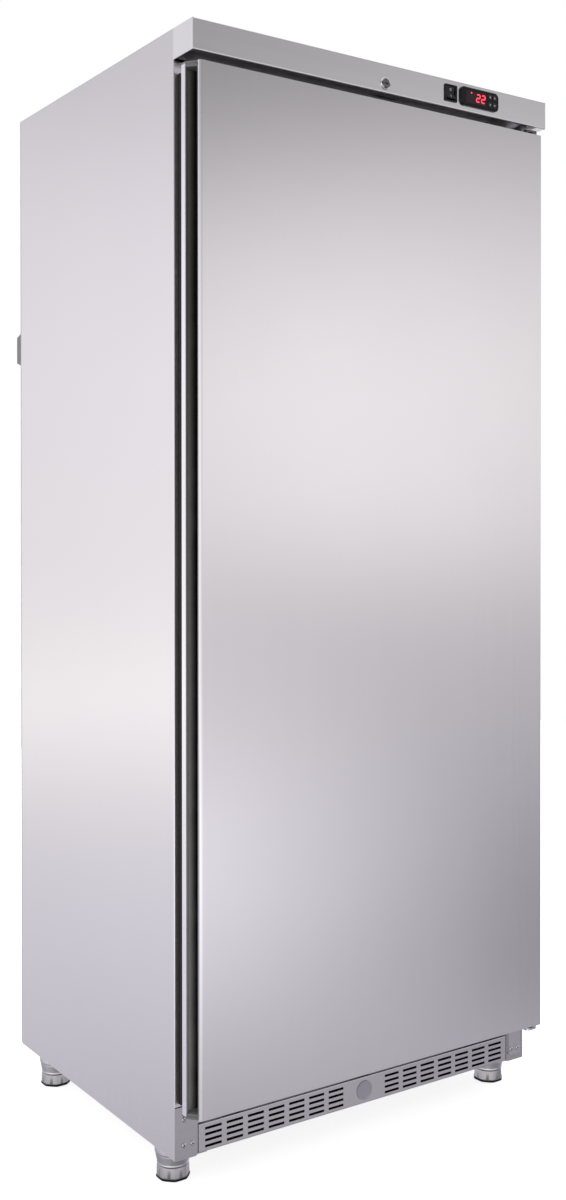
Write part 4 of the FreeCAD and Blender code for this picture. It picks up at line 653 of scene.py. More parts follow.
class Finishes:
    """Every finish of the freezer, each made into a material once."""

    DARK_STEEL: Colour = (0.71, 0.675, 0.715)
    LIGHT_STEEL: Colour = (0.78, 0.745, 0.785)
    SIDE = BrushedSheet("stainless_side", DARK_STEEL, LIGHT_STEEL, 0.2, 0.04, anisotropy=0.6)
    DOOR = BrushedSheet("stainless_door", DARK_STEEL, LIGHT_STEEL, 0.18, 0.04, anisotropy=0.6)
    FASCIA = BrushedSheet(
        "stainless_fascia", (0.77, 0.745, 0.78), (0.85, 0.82, 0.86), 0.2, 0.04,
        grain=Grain.ACROSS, dust=0.2,
    )
    FASCIA_END = BrushedSheet("stainless_end", (0.82, 0.80, 0.83), (0.88, 0.86, 0.89), 0.3, 0.03)
    TOP = BrushedSheet(
        "stainless_top", (0.58, 0.57, 0.59), (0.66, 0.65, 0.67), 0.34, grain=Grain.DEEP, dust=0.5
    )
    TRIM = BrushedSheet("stainless_trim", (0.80, 0.78, 0.84), (0.90, 0.88, 0.94), 0.24, bump=0.08)
    GRILLE = BrushedSheet(
        "stainless_grille", (0.52, 0.495, 0.535), (0.66, 0.63, 0.675), 0.28, grain=Grain.ACROSS
    )
    PLATE = BrushedSheet(
        "stainless_plate", (0.44, 0.42, 0.455), (0.57, 0.545, 0.585), 0.26, grain=Grain.ACROSS
    )
    SLEEVE = BrushedSheet(
        "satin_sleeve", (0.48, 0.465, 0.495), (0.62, 0.60, 0.635), 0.28, across=400.0, along=60.0
    )
    # the feet's bend colour is a dimmer painted highlight on their turned edges
    FEET = BrushedSheet(
        "satin_feet", (0.36, 0.35, 0.37), (0.52, 0.505, 0.53), 0.28,
        across=400.0, along=60.0, bend=(0.5, 0.49, 0.5),
    )
    CHROME = BrushedSheet(
        "polished_chrome", (0.78, 0.78, 0.80), (0.86, 0.86, 0.88), 0.07, 0.02, bump=0.03
    )
    # painted shade: the lock's barrel face is darkened for the shade in the lock's centre
    SHADED_PLUG = BrushedSheet(
        "shaded_plug", (0.12, 0.115, 0.12), (0.30, 0.29, 0.30), 0.2, 0.05, across=1500.0, along=1500.0
    )
    SCREW = BrushedSheet("bright_screw", (0.42, 0.41, 0.43), (0.62, 0.61, 0.64), 0.16, 0.05, bump=0.05)
    # painted shade: a darker copy of the zinc plate for the top hinge in the fascia's shade
    SHADED_HINGE = Plated("shaded_hinge", (0.10, 0.10, 0.10), (0.18, 0.18, 0.19), 0.35, 400.0)
    ZINC = Plated("zinc_plate", (0.38, 0.38, 0.39), (0.52, 0.52, 0.54), 0.35, 400.0)
    GALVANISED = Plated("galvanised_sheet", (0.50, 0.51, 0.52), (0.63, 0.64, 0.66), 0.42, 70.0)
    ALUMINIUM = Plated("mill_aluminium", (0.62, 0.62, 0.64), (0.72, 0.72, 0.74), 0.32, 200.0)
    ENAMEL = Plated("black_enamel", (0.012, 0.012, 0.013), (0.022, 0.022, 0.024), 0.38, 500.0, 0.0, 0.2)
    EPOXY = Plated("white_epoxy", (0.74, 0.76, 0.78), (0.80, 0.82, 0.84), 0.32, 300.0, 0.0, 0.15)
    LINER = Moulded("white_liner", (0.74, 0.75, 0.76), (0.80, 0.81, 0.82), 0.36, 0.15, 900.0, 0.15, 4.0)
    BLACK = Moulded(
        "black_moulding", (0.006, 0.006, 0.007), (0.012, 0.012, 0.014), 0.42, dust=0.06, shine=0.3
    )
    GLOSSY = Moulded(
        "glossy_black_moulding", (0.004, 0.004, 0.006), (0.009, 0.009, 0.012), 0.24, 0.1, 1200.0, 0.06,
        shine=0.2,
    )
    GREY = Moulded("grey_moulding", (0.20, 0.20, 0.21), (0.27, 0.27, 0.28), 0.45, dust=0.2)
    CAP = Moulded("pale_cap", (0.50, 0.48, 0.57), (0.57, 0.55, 0.64), 0.38, 0.1)
    SEAL = Moulded(
        "dark_seal", (0.030, 0.023, 0.019), (0.044, 0.034, 0.029), 0.6, 0.0, 2400.0, 0.15, shine=0.3
    )
    RUBBER = Moulded("black_rubber", (0.008, 0.008, 0.008), (0.014, 0.014, 0.014), 0.7, shine=0.2)
    KEY = Moulded(
        "grey_key", (0.02, 0.02, 0.024), (0.035, 0.035, 0.04), 0.36, 0.1, 1500.0, 0.1, shine=0.3
    )
    WINDOW = Moulded(
        "display_window", (0.014, 0.005, 0.007), (0.03, 0.009, 0.013), 0.16, 0.2, 400.0, 0.02, shine=0.3
    )
    # a black filter mat whose black also serves as painted shade behind the grille's slots
    FILTER_SHADE = Moulded(
        "black_filter_shade", (0.003, 0.003, 0.003), (0.006, 0.006, 0.006), 0.9, 0.0, 600.0, 0.8, shine=0.05
    )
    # painted light and shade in the grip channel: pale by the strip and low down, near black in its depth
    CHANNEL = ShadedChannel("shaded_channel", (0.75, 0.73, 0.72), (0.27, 0.25, 0.22), (0.004, 0.003, 0.005))
    FOAM = Foam("insulating_foam", (0.66, 0.58, 0.36), (0.76, 0.68, 0.46))
    DIGIT = Lamp("lit_digit", (1.0, 0.045, 0.085), 2.6)
    SIGNAL = Lamp("lit_signal", (1.0, 0.06, 0.12), 1.8)
    INK = Printed("pale_ink", (0.62, 0.62, 0.66), (0.76, 0.76, 0.80))
    # painted shade: near black for the inside of the screws' cross recesses
    RECESS_SHADE = Printed("painted_recess_shade", (0.004, 0.004, 0.004), (0.010, 0.010, 0.010), 0.8)
    FLOOR = PaleFloor("pale_floor")

    def __init__(self) -> None:
        """Start with no material made."""
        self.made: dict[str, bpy.types.Material] = {}

    def get(self, finish: Finish) -> bpy.types.Material:
        """The material of a finish, made on first use.

        Args:
            finish: The finish.

        Returns:
            Its one material.
        """
        if finish.name not in self.made:
            self.made[finish.name] = finish.material()
        return self.made[finish.name]


FINISHES = Finishes()


# --------------------------------------------------------------------------------------------
# Meshes
# --------------------------------------------------------------------------------------------


def circle(steps: int) -> np.ndarray:
    """The angles of points spread evenly round a full circle."""
    return np.linspace(0.0, FULL_TURN, steps, endpoint=False)


def ring_of(steps: int, radius: object) -> np.ndarray:
    """Points of two coordinates round the origin, at one radius or a radius each."""
    angle = circle(steps)
    return np.stack([np.cos(angle) * radius, np.sin(angle) * radius], axis=-1)


def points(x: object, y: object, z: object) -> np.ndarray:
    """Points from their coordinates, each carried over the shape of the others."""
    return np.stack(np.broadcast_arrays(x, y, z), axis=-1)


def quads(rows: int, columns: int, wrap_rows: bool = False, wrap_columns: bool = False) -> np.ndarray:
    """The faces of a grid of points: each joins a point to its neighbours one row and column on.

    Args:
        rows: Points along the first parameter.
        columns: Points along the second.
        wrap_rows: Whether the last row joins the first.
        wrap_columns: Whether the last column joins the first.

    Returns:
        An array of four point numbers a face.
    """
    first = np.arange(rows if wrap_rows else rows - 1)[:, None]
    second = np.arange(columns if wrap_columns else columns - 1)[None, :]
    near, far = first * columns, (first + 1) % rows * columns
    beside = (second + 1) % columns
    corners = (near + second, far + second, far + beside, near + beside)
    return np.stack(corners, axis=-1).reshape(-1, 4)


class Surface:
    """Points and faces that grow by whole grids, and become one mesh object."""

    def __init__(self, name: str) -> None:
        """Start an empty surface.

        Args:
            name: The piece's name.
        """
        self.name = name
        self.points: list[np.ndarray] = []
        self.faces: list[np.ndarray] = []
        self.count = 0

    def add(
        self, grid: np.ndarray, wrap_rows: bool = False, wrap_columns: bool = True, flip: bool = False
    ) -> None:
        """Add a grid of points with the faces between them.

        Args:
            grid: Points as rows by columns by 3.
            wrap_rows: Whether the last row joins the first.
            wrap_columns: Whether the last column joins the first.
            flip: Whether the faces turn over.
        """
        rows, columns = grid.shape[:2]
        faces = quads(rows, columns, wrap_rows, wrap_columns) + self.count
        self.faces.append(faces[:, ::-1] if flip else faces)
        self.points.append(grid.reshape(-1, 3))
        self.count += rows * columns

    def build(self, body: str, finish: Finish, slot: str, crease: float) -> bpy.types.Object:
        """Make the object, dress it and let it ride on a body.

        Args:
            body: The body that carries it.
            finish: Its finish.
            slot: The material slot that it stands for; not used.
            crease: Edges sharper than this many degrees stay sharp.

        Returns:
            The new object, at the origin.
        """
        mesh = bpy.data.meshes.new(self.name)
        mesh.from_pydata(np.concatenate(self.points).tolist(), [], np.concatenate(self.faces).tolist())
        work = bmesh.new()
        work.from_mesh(mesh)
        bmesh.ops.remove_doubles(work, verts=work.verts, dist=1e-6)
        bmesh.ops.dissolve_degenerate(work, edges=work.edges, dist=1e-7)
        bmesh.ops.recalc_face_normals(work, faces=work.faces)
        work.to_mesh(mesh)
        work.free()
        mesh.shade_smooth()
        mesh.set_sharp_from_angle(angle=math.radians(crease))
        made = bpy.data.objects.new(self.name, mesh)
        bpy.context.scene.collection.objects.link(made)
        made.data.materials.append(FINISHES.get(finish))
        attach(made, body)
        LOG.info("built %s: %d faces", self.name, len(mesh.polygons))
        return made


def turned(
    profile: np.ndarray, steps: int, centre: Sequence[float], axis: str = "Z", start: float = 0.0
) -> np.ndarray:
    """A profile of radius and height turned round an axis.

    The point at profile place s and angle t is (r(s) cos t, r(s) sin t, h(s)), laid along the axis.

    Args:
        profile: Rows of radius and height.
        steps: Points round the circle.
        centre: Where the axis stands.
        axis: Z for an upright axis, or Y for one that looks out of the front, heights towards -Y.
        start: The angle of the first point.

    Returns:
        Points as profile rows by steps by 3.
    """
    angle = circle(steps) + start
    radius, height = profile[:, :1], profile[:, 1:]
    across, along = radius * np.cos(angle), radius * np.sin(angle)
    grid = points(across, along, height) if axis == "Z" else points(across, -height, along)
    return grid + np.asarray(centre, float)


def rounded(corners: Sequence[tuple[float, float]], radius: float, steps: int = 4) -> np.ndarray:
    """An open profile with its inner corners rounded.

    Each corner becomes a quadratic curve from one radius before it to one radius after it.

    Args:
        corners: The profile's corners.
        radius: How far the rounding reaches, at most half of each run.
        steps: Points in each rounded corner.

    Returns:
        The profile's points in order.
    """
    line = np.asarray(corners, float)
    place = np.linspace(0.0, 1.0, steps)[None, :, None]
    corner = line[1:-1]
    ends = []
    for away in (line[:-2] - corner, line[2:] - corner):
        run = np.linalg.norm(away, axis=1, keepdims=True)
        ends.append((corner + away / run * np.minimum(radius, run / 2))[:, None])
    start, end = ends
    curve = (1 - place) ** 2 * start + 2 * place * (1 - place) * corner[:, None] + place**2 * end
    return np.concatenate([line[:1], curve.reshape(-1, 2), line[-1:]])


def slab(outline: np.ndarray, front: float, back: float) -> np.ndarray:
    """A flat piece that looks out of the front, as one grid from its front's middle to its back's.

    Args:
        outline: Points of X and Z round the piece.
        front: Y of its front.
        back: Y of its back.

    Returns:
        A grid that closes on itself over its columns.
    """
    middle = outline.mean(axis=0)
    rings = []
    for share, depth in ((0.0, front), (1.0, front), (1.0, back), (0.0, back)):
        ring = middle + (outline - middle) * share
        rings.append(points(ring[:, 0], depth, ring[:, 1]))
    return np.stack(rings)


def face_centres(made: bpy.types.Object) -> np.ndarray:
    """The middle of each face of an object.

    Args:
        made: The object.

    Returns:
        Rows of x, y and z.
    """
    centres = np.empty(len(made.data.polygons) * 3, np.float32)
    made.data.polygons.foreach_get("center", centres)
    return centres.reshape(-1, 3)


def paint(made: bpy.types.Object, finishes: Sequence[Finish], part: np.ndarray) -> None:
    """Give some faces of an object further finishes.

    Args:
        made: The object, with its first finish on it.
        finishes: The finishes that follow.
        part: A number for each face: 0 for the first finish, 1 for the next and so on.
    """
    for finish in finishes:
        made.data.materials.append(FINISHES.get(finish))
    made.data.polygons.foreach_set("material_index", part.astype(np.int32))


# --------------------------------------------------------------------------------------------
# Sub-assemblies
# --------------------------------------------------------------------------------------------


@dataclass
class Dresser:
    """Gives the frame's own nodes their finishes, apart from those that a new piece replaces."""

    nodes: dict[str, bpy.types.Object]
    plan: ClassVar[dict[Finish, Sequence[str]]] = {
        Finishes.SIDE: ("side_panel_left", "side_panel_right"),
        Finishes.TOP: ("top_panel",),
        Finishes.FASCIA: ("fascia_panel",),
        Finishes.FASCIA_END: ("fascia_ends",),
        Finishes.DOOR: ("door_skin",),
        Finishes.TRIM: ("door_edge_strip",),
        Finishes.CHANNEL: ("grip_channel",),
        Finishes.LINER: ("liner", "breaker_trim", "door_foam", "door_inner_panel"),
        Finishes.FOAM: ("cabinet_foam",),
        Finishes.GRILLE: ("kick_grille", "bottom_pan", "hinge_plate_bottom"),
        Finishes.PLATE: ("corner_plates",),
        Finishes.CAP: ("grille_cap",),
        Finishes.GREY: ("grip_caps", "rear_spacers"),
        Finishes.SHADED_PLUG: ("lock_plug",),
        Finishes.GLOSSY: ("switch_rocker", "controller_case"),
        Finishes.WINDOW: ("display_window",),
        Finishes.KEY: ("button_set", "button_defrost", "button_up", "button_down"),
        Finishes.SHADED_HINGE: ("hinge_plate_top",),
        Finishes.ZINC: ("lock_cam", "hinge_pins", "shelf_bearers"),
        Finishes.BLACK: ("switch_case", "hinge_bushes", "terminal_cover"),
        Finishes.GALVANISED: ("back_panel", "base_rails", "rear_cover", "machine_plate", "fan_shroud"),
        Finishes.ENAMEL: ("compressor", "fan_motor"),
        Finishes.RUBBER: ("compressor_mounts",),
        Finishes.ALUMINIUM: ("condenser", "fan_blades"),
    }

    def dress(self) -> None:
        """Put each node's finish in its one material slot."""
        for finish, names in self.plan.items():
            for name in names:
                materials = self.nodes[name].data.materials
                materials.clear()
                materials.append(FINISHES.get(finish))
        LOG.info("dressed the frame's nodes in %d finishes", len(self.plan))


@dataclass
class LevellingFeet:
    """Four turned sleeves and the octagonal feet that screw out of them.

    The profile of a foot gives heights, and widths as shares of its apothem, up to the seam.
    """

    inset: float = 0.032
    front_y: float = -0.22185
    rear_y: float = 0.24115
    sleeve_top: float = 0.054
    sleeve_low: float = 0.023
    sleeve_radius: float = 0.031
    sleeve_step: float = 0.0012
    sleeve_wall: float = 0.003
    sleeve_round: float = 0.0009
    neck_radius: float = 0.0262
    foot_apothem: float = 0.0265
    corner_round: float = 0.35
    seam: float = 0.0226
    seam_share: float = 0.93
    sole: float = 0.0040
    stem_hole: float = 0.0053
    stem_radius: float = 0.0049
    thread_pitch: float = 0.0015
    thread_depth: float = 0.0006
    thread_rows: int = 6
    foot_profile: Sequence[tuple[float, float]] = (
        (0.0, 0.0), (0.0, 0.96), (0.0008, 1.03), (0.0032, 1.035), (0.0042, 1.02), (0.0046, 0.985),
        (0.0054, 1.0), (0.0200, 0.985), (0.0218, 0.975),
    )

    def places(self) -> dict[str, tuple[float, float]]:
        """Where each foot stands.

        Returns:
            X and Y by the name of the foot.
        """
        across = DATUM.half_width - self.inset
        rows, sides = {"front": self.front_y, "rear": self.rear_y}, {"left": -across, "right": across}
        return {f"{row}_{side}": (x, y) for row, y in rows.items() for side, x in sides.items()}

    def sleeve(self, surface: Surface, x: float, y: float) -> None:
        """Turn one sleeve: a cup, open below, with a straight collar, a soft shoulder and a taper.

        Args:
            surface: What it is added to.
            x: The foot's place.
            y: The foot's place.
        """
        top, low, wide, neck = self.sleeve_top, self.sleeve_low, self.sleeve_radius, self.neck_radius
        inside, hole, roof = neck - self.sleeve_wall, self.stem_hole, top - self.sleeve_wall
        shoulder = wide - self.sleeve_step
        corners = (
            (hole, top),
            (wide, top),
            (wide, top - 0.010),
            (shoulder, top - 0.0115),
            (shoulder, top - 0.014),
            (neck + 0.0008, low + 0.004),
            (neck + self.sleeve_step, low + 0.0015),
            (neck, low),
            (inside, low),
            (inside, roof),
            (hole, roof),
            (hole, top),
        )
        surface.add(turned(rounded(corners, self.sleeve_round), 64, (x, y, 0.0)))

    def stem(self, surface: Surface, name: str, x: float, y: float) -> None:
        """Add a foot's threaded stem, up to where the frame's own foot ends.

        Its radius falls from crest to root with the distance from the nearest whole turn, where the
        turn at a height z and angle t is z over the pitch less t over a full circle.

        Args:
            surface: What it is added to.
            name: Which foot.
            x: Its place.
            y: Its place.
        """
        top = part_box(f"foot_{name}")[1][2]
        rows = round(self.thread_rows * (top - self.seam) / self.thread_pitch)
        height = np.linspace(self.seam - self.thread_pitch, top, rows)[:, None]
        angle = circle(20)
        turn = (height / self.thread_pitch - angle / FULL_TURN) % 1.0
        radius = self.stem_radius - self.thread_depth * np.abs(2.0 * turn - 1.0)
        ends = ((1, 1), (0, 0))
        radius, height = np.pad(radius, ends), np.pad(height, ends, mode="edge")
        surface.add(points(x + radius * np.cos(angle), y + radius * np.sin(angle), height))

    def foot(self, name: str, x: float, y: float) -> None:
        """Build one foot: radius at angle t and height z is the octagon's, softened and flared.

        The octagon's radius is its apothem over the cosine of the angle from the nearest flat. It is
        blended with a circle by the corner rounding, and widens towards the base.

        Args:
            name: Which foot.
            x: Its place.
            y: Its place.
        """
        angle = circle(96)
        from_flat = (angle + math.pi / 8) % (math.pi / 4) - math.pi / 8
        octagon = 1.0 / np.cos(from_flat)
        soft = octagon * (1.0 - self.corner_round * (octagon - 1.0))
        profile = np.array([*self.foot_profile, (self.seam, self.seam_share), (self.seam, 0.0)])
        radius = self.foot_apothem * profile[:, 1:] * soft
        surface = Surface(f"turned_foot_{name}")
        surface.add(points(x + radius * np.cos(angle), y + radius * np.sin(angle), profile[:, :1]))
        self.stem(surface, name, x, y)
        made = surface.build(f"{name}_foot", Finishes.FEET, "grey_plastic", 28.0)
        centres = face_centres(made)
        on_stem = np.hypot(centres[:, 0] - x, centres[:, 1] - y) < self.stem_hole
        stem = on_stem & (centres[:, 2] > self.seam)
        part = np.where(centres[:, 2] < self.sole, 1, np.where(stem, 2, 0))
        paint(made, (Finishes.RUBBER, Finishes.ZINC), part)
        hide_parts(f"foot_{name}")

    def build(self) -> None:
        """Build the sleeves as one piece and each foot on its own body."""
        sleeves = Surface("turned_sleeves")
        for name, (x, y) in self.places().items():
            self.sleeve(sleeves, x, y)
            self.foot(name, x, y)
        made = sleeves.build("cabinet", Finishes.SLEEVE, "grey_plastic", 30.0)
        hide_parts("foot_sleeves")


@dataclass
class PanScrews:
    """Pan-head screws with a cross recess, on the corner plates and the top hinge."""

    head_radius: float = 0.0043
    head_height: float = 0.002
    dome_fall: float = 0.45
    shank_radius: float = 0.0021
    shank: float = 0.003
    recess: float = 0.0011
    slot_half: float = 0.00055
    slot_reach: float = 0.0023
    first_turn: float = 0.5
    turn_step: float = 1.9
    plate_columns: Sequence[float] = (0.3718, 0.3556)
    plate_rows: Sequence[float] = (0.077, 0.1192)
    left_plate: float = 0.002
    right_plate: float = 0.005
    hinge_x: float = 0.3645
    hinge_rows: Sequence[float] = (1.8514, 1.8694)
    hinge_leaf: float = 0.003
    ring_shares: Sequence[float] = (
        0.0, 0.08, 0.16, 0.24, 0.32, 0.40, 0.48, 0.56, 0.66, 0.78, 0.88, 0.95, 1.0,
    )

    def seats(self) -> list[tuple[float, float, float]]:
        """Where every screw sits.

        Returns:
            For each its x, the y of the face under its head, and its z.
        """
        corners = [(x, z) for x in self.plate_columns for z in self.plate_rows]
        left = [(-x, DATUM.front - self.left_plate, z) for x, z in corners]
        right = [(x, DATUM.front - self.right_plate, z) for x, z in corners]
        hinge = [(self.hinge_x, DATUM.front - self.hinge_leaf, z) for z in self.hinge_rows]
        return left + right + hinge

    def bar(self, across: np.ndarray, along: np.ndarray) -> np.ndarray:
        """One soft bar of the cross: a steep bell across its width that ends at its reach."""
        return np.exp(-((across / self.slot_half) ** 4)) * np.exp(-((along / self.slot_reach) ** 8))

    def head(self, surface: Surface, seat: tuple[float, float, float], turn: float) -> None:
        """Add one screw.

        The head's height at radius r is a dome that falls as the fourth power of r, less a cross of
        two bars.

        Args:
            surface: What it is added to.
            seat: Its x, the y of the face that it holds, and its z.
            turn: How far the cross is turned, in radians.
        """
        x, y, z = seat
        share = np.array(self.ring_shares)[:, None]
        angle = circle(48)
        across = self.head_radius * share * np.cos(angle)
        along = self.head_radius * share * np.sin(angle)
        first = across * math.cos(turn) + along * math.sin(turn)
        second = along * math.cos(turn) - across * math.sin(turn)
        cross = np.maximum(self.bar(first, second), self.bar(second, first))
        height = self.head_height * (1.0 - self.dome_fall * share**4) - self.recess * cross
        surface.add(points(x + across, y - height, z + along))
        head, shank = self.head_radius, self.shank_radius
        edge = (1.0 - self.dome_fall) * self.head_height
        rim = [(head, edge), (head, 0.0), (shank, 0.0), (shank, -self.shank), (0.0, -self.shank)]
        surface.add(turned(np.array(rim), 48, seat, "Y"))

    def build(self) -> None:
        """Build all the screws as one group in place of the plain ones."""
        surface = Surface("pan_screws")
        for number, seat in enumerate(self.seats()):
            self.head(surface, seat, self.first_turn + self.turn_step * number)
        made = surface.build("cabinet", Finishes.SCREW, "zinc_steel", 40.0)
        # painted shade in the cross recesses
        self.shade_crosses(made)
        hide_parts("screws")

    def shade_crosses(self, made: bpy.types.Object) -> None:
        """Paint shade into the crosses: the faces near a head's middle, well under its dome, get the
        near-black recess finish.

        Args:
            made: The screws.
        """
        centres = face_centres(made)[:, None]
        seats = np.array(self.seats())[None]
        away = np.hypot(centres[..., 0] - seats[..., 0], centres[..., 2] - seats[..., 2])
        height = seats[0, away.argmin(axis=1), 1] - centres[:, 0, 1]
        inside = (away.min(axis=1) < self.head_radius * 0.7) & (height > 0.0)
        # painted shade: the recess faces take the near-black finish
        paint(made, (Finishes.RECESS_SHADE,), inside & (height < self.head_height - 0.5 * self.recess))


@dataclass
class GrilleFilterShade:
    """The black filter mat behind the kick grille, held in the grille's folded edges; its black also stands
    in as painted shade behind the slots.
    """

    half_width: float = 0.3425
    low: float = 0.0580
    high: float = 0.1030
    front: float = -0.2818
    back: float = -0.2780
    columns: int = 120
    rows: int = 9
    swell: float = 0.0005
    quilt_across: float = 0.011
    quilt_up: float = 0.009

    def build(self) -> None:
        """Build the mat: two quilted faces, each a product of cosines across and up, and its rim."""
        across = np.linspace(-self.half_width, self.half_width, self.columns)
        up = np.linspace(self.low, self.high, self.rows)[:, None]
        rise = np.sin((up - self.low) * math.pi / self.quilt_up) ** 2
        bulge = self.swell * np.cos(across * math.pi / self.quilt_across) ** 2 * rise
        faces = (points(across, self.front - bulge, up), points(across, self.back + bulge, up))
        mat = Surface("grille_filter_shade")
        loops = []
        for grid, flip in zip(faces, (False, True)):
            mat.add(grid, wrap_columns=False, flip=flip)
            loops.append(np.concatenate([grid[0, :-1], grid[:-1, -1], grid[-1, :0:-1], grid[:0:-1, 0]]))
        mat.add(np.stack(loops))
        # the mat's black is also painted shade behind the slots
        mat.build("cabinet", Finishes.FILTER_SHADE, "black_plastic", 50.0)


@dataclass
class Lock:
    """The lock's rolled front ring, its barrel and the nut behind the fascia."""

    centre_z: float = 1.8598
    radius: float = 0.011
    bore: float = 0.0075
    barrel: float = 0.0094
    proud: float = 0.003
    rear: float = -0.020
    bevel: float = 0.0016
    crown: float = 0.0001
    edge_round: float = 0.0006
    nut_low: float = -0.006
    nut_high: float = -0.001
    nut_hole: float = 0.00945
    nut_apothem: float = 0.012

    def build(self) -> None:
        """Turn the ring with a rolled edge and a dished face, with its barrel and nut."""
        proud, wide, bore, barrel, rear = self.proud, self.radius, self.bore, self.barrel, self.rear
        corners = (
            (bore, rear),
            (bore, proud - 0.0022),
            (bore + 0.0004, proud - self.bevel),
            (bore + self.bevel, proud - self.crown),
            (wide - 0.0009, proud - self.crown),
            (wide, proud - self.bevel),
            (wide, 0.0),
            (barrel, 0.0),
            (barrel, rear),
            (bore, rear),
        )
        ring = Surface("lock_ring")
        centre = (0.0, DATUM.fascia_front, self.centre_z)
        ring.add(turned(rounded(corners, self.edge_round), 72, centre, "Y"))
        hole, edge = self.nut_hole, self.nut_apothem / math.cos(math.pi / 6)
        high, low = self.nut_high, self.nut_low
        nut = np.array([(hole, high), (edge, high), (edge, low), (hole, low), (hole, high)])
        ring.add(turned(nut, 6, centre, "Y", math.pi / 6))
        made = ring.build("cabinet", Finishes.CHROME, "chrome", 30.0)
        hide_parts("lock_body")


class Segment(Enum):
    """The bars of a seven-segment figure, as (middle x, middle z, upright) in figure units."""

    TOP = (0.0, 1.0, False)
    UPPER_RIGHT = (0.5, 0.5, True)
    LOWER_RIGHT = (0.5, -0.5, True)
    BOTTOM = (0.0, -1.0, False)
    LOWER_LEFT = (-0.5, -0.5, True)
    UPPER_LEFT = (-0.5, 0.5, True)
    MIDDLE = (0.0, 0.0, False)


TWO = (Segment.TOP, Segment.UPPER_RIGHT, Segment.MIDDLE, Segment.LOWER_LEFT, Segment.BOTTOM)


@dataclass
class Controller:
    """Lit figures, signal lamp and key marks of the temperature controller."""

    middle_z: float = 1.8710
    face_y: float = -0.34935
    window_y: float = -0.34895
    figure_places: Sequence[float] = (0.2138, 0.2261)
    figure_width: float = 0.0082
    figure_half: float = 0.0066
    bar: float = 0.0022
    bar_gap: float = 0.0007
    bar_proud: float = 0.00025
    sunk: float = 0.0001
    lean: float = 0.10
    lamp_place: tuple[float, float] = (0.1974, 1.8786)
    lamp_profile: Sequence[tuple[float, float]] = (
        (0.0, 0.0004), (0.0012, 0.0003), (0.0017, 0.0), (0.0017, -0.0001), (0.0, -0.0001),
    )
    key_columns: tuple[float, float] = (0.2423, 0.2533)
    key_rows: tuple[float, float] = (1.8780, 1.8640)
    key_proud: float = 0.0008
    mark_proud: float = 0.00002
    arrow: Sequence[tuple[float, float]] = ((-0.0019, -0.0012), (0.0019, -0.0012), (0.0, 0.0018))
    mark_radius: float = 0.0014
    star_reach: float = 0.0019
    star_waist: float = 0.0007

    def figure(self, surface: Surface, x: float, bars: Sequence[Segment]) -> None:
        """Add one figure: each bar is a flat six-sided slab with pointed ends, leaning a little.

        Args:
            surface: What it is added to.
            x: The figure's middle.
            bars: Its lit segments.
        """
        size = np.array([self.figure_width, self.figure_half])
        for bar in bars:
            across, up, upright = bar.value
            half, thick = (size[int(upright)] - self.bar_gap) / 2, self.bar / 2
            ends = np.array([-half, -half + thick, half - thick, half, half - thick, -half + thick])
            sides = np.array([0.0, -thick, -thick, 0.0, thick, thick])
            place = np.stack([sides, ends] if upright else [ends, sides], axis=-1) + size * (across, up)
            place[:, 0] += place[:, 1] * self.lean + x
            place[:, 1] += self.middle_z
            surface.add(slab(place, self.window_y - self.bar_proud, self.window_y + self.sunk))

    def build(self) -> None:
        """Build the figures, the signal lamp and the marks on the four keys."""
        figures = Surface("display_figures")
        for x in self.figure_places:
            self.figure(figures, x, TWO)
        figures.build("cabinet", Finishes.DIGIT, "display", 30.0)
        lamp = Surface("signal_lamp")
        x, z = self.lamp_place
        lamp.add(turned(np.array(self.lamp_profile), 24, (x, self.window_y, z), "Y"))
        lamp.build("cabinet", Finishes.SIGNAL, "display", 40.0)
        self.key_marks()

    def key_marks(self) -> None:
        """Put a small pale mark on each key: a ring, a star of bars, arrow up and arrow down."""
        (left, right), (upper, lower) = self.key_columns, self.key_rows
        star = np.where(np.arange(12) % 2 == 0, self.star_reach, self.star_waist)
        marks = {
            "set_button": ((left, upper), ring_of(24, self.mark_radius)),
            "defrost_button": ((left, lower), ring_of(12, star)),
            "up_button": ((right, upper), np.array(self.arrow)),
            "down_button": ((right, lower), np.array(self.arrow) * (1.0, -1.0)),
        }
        face = self.face_y - self.key_proud
        for body, (place, outline) in marks.items():
            mark = Surface(f"{body}_mark")
            mark.add(slab(outline + place, face - self.mark_proud, face + self.sunk))
            mark.build(body, Finishes.INK, "grey_plastic", 30.0)


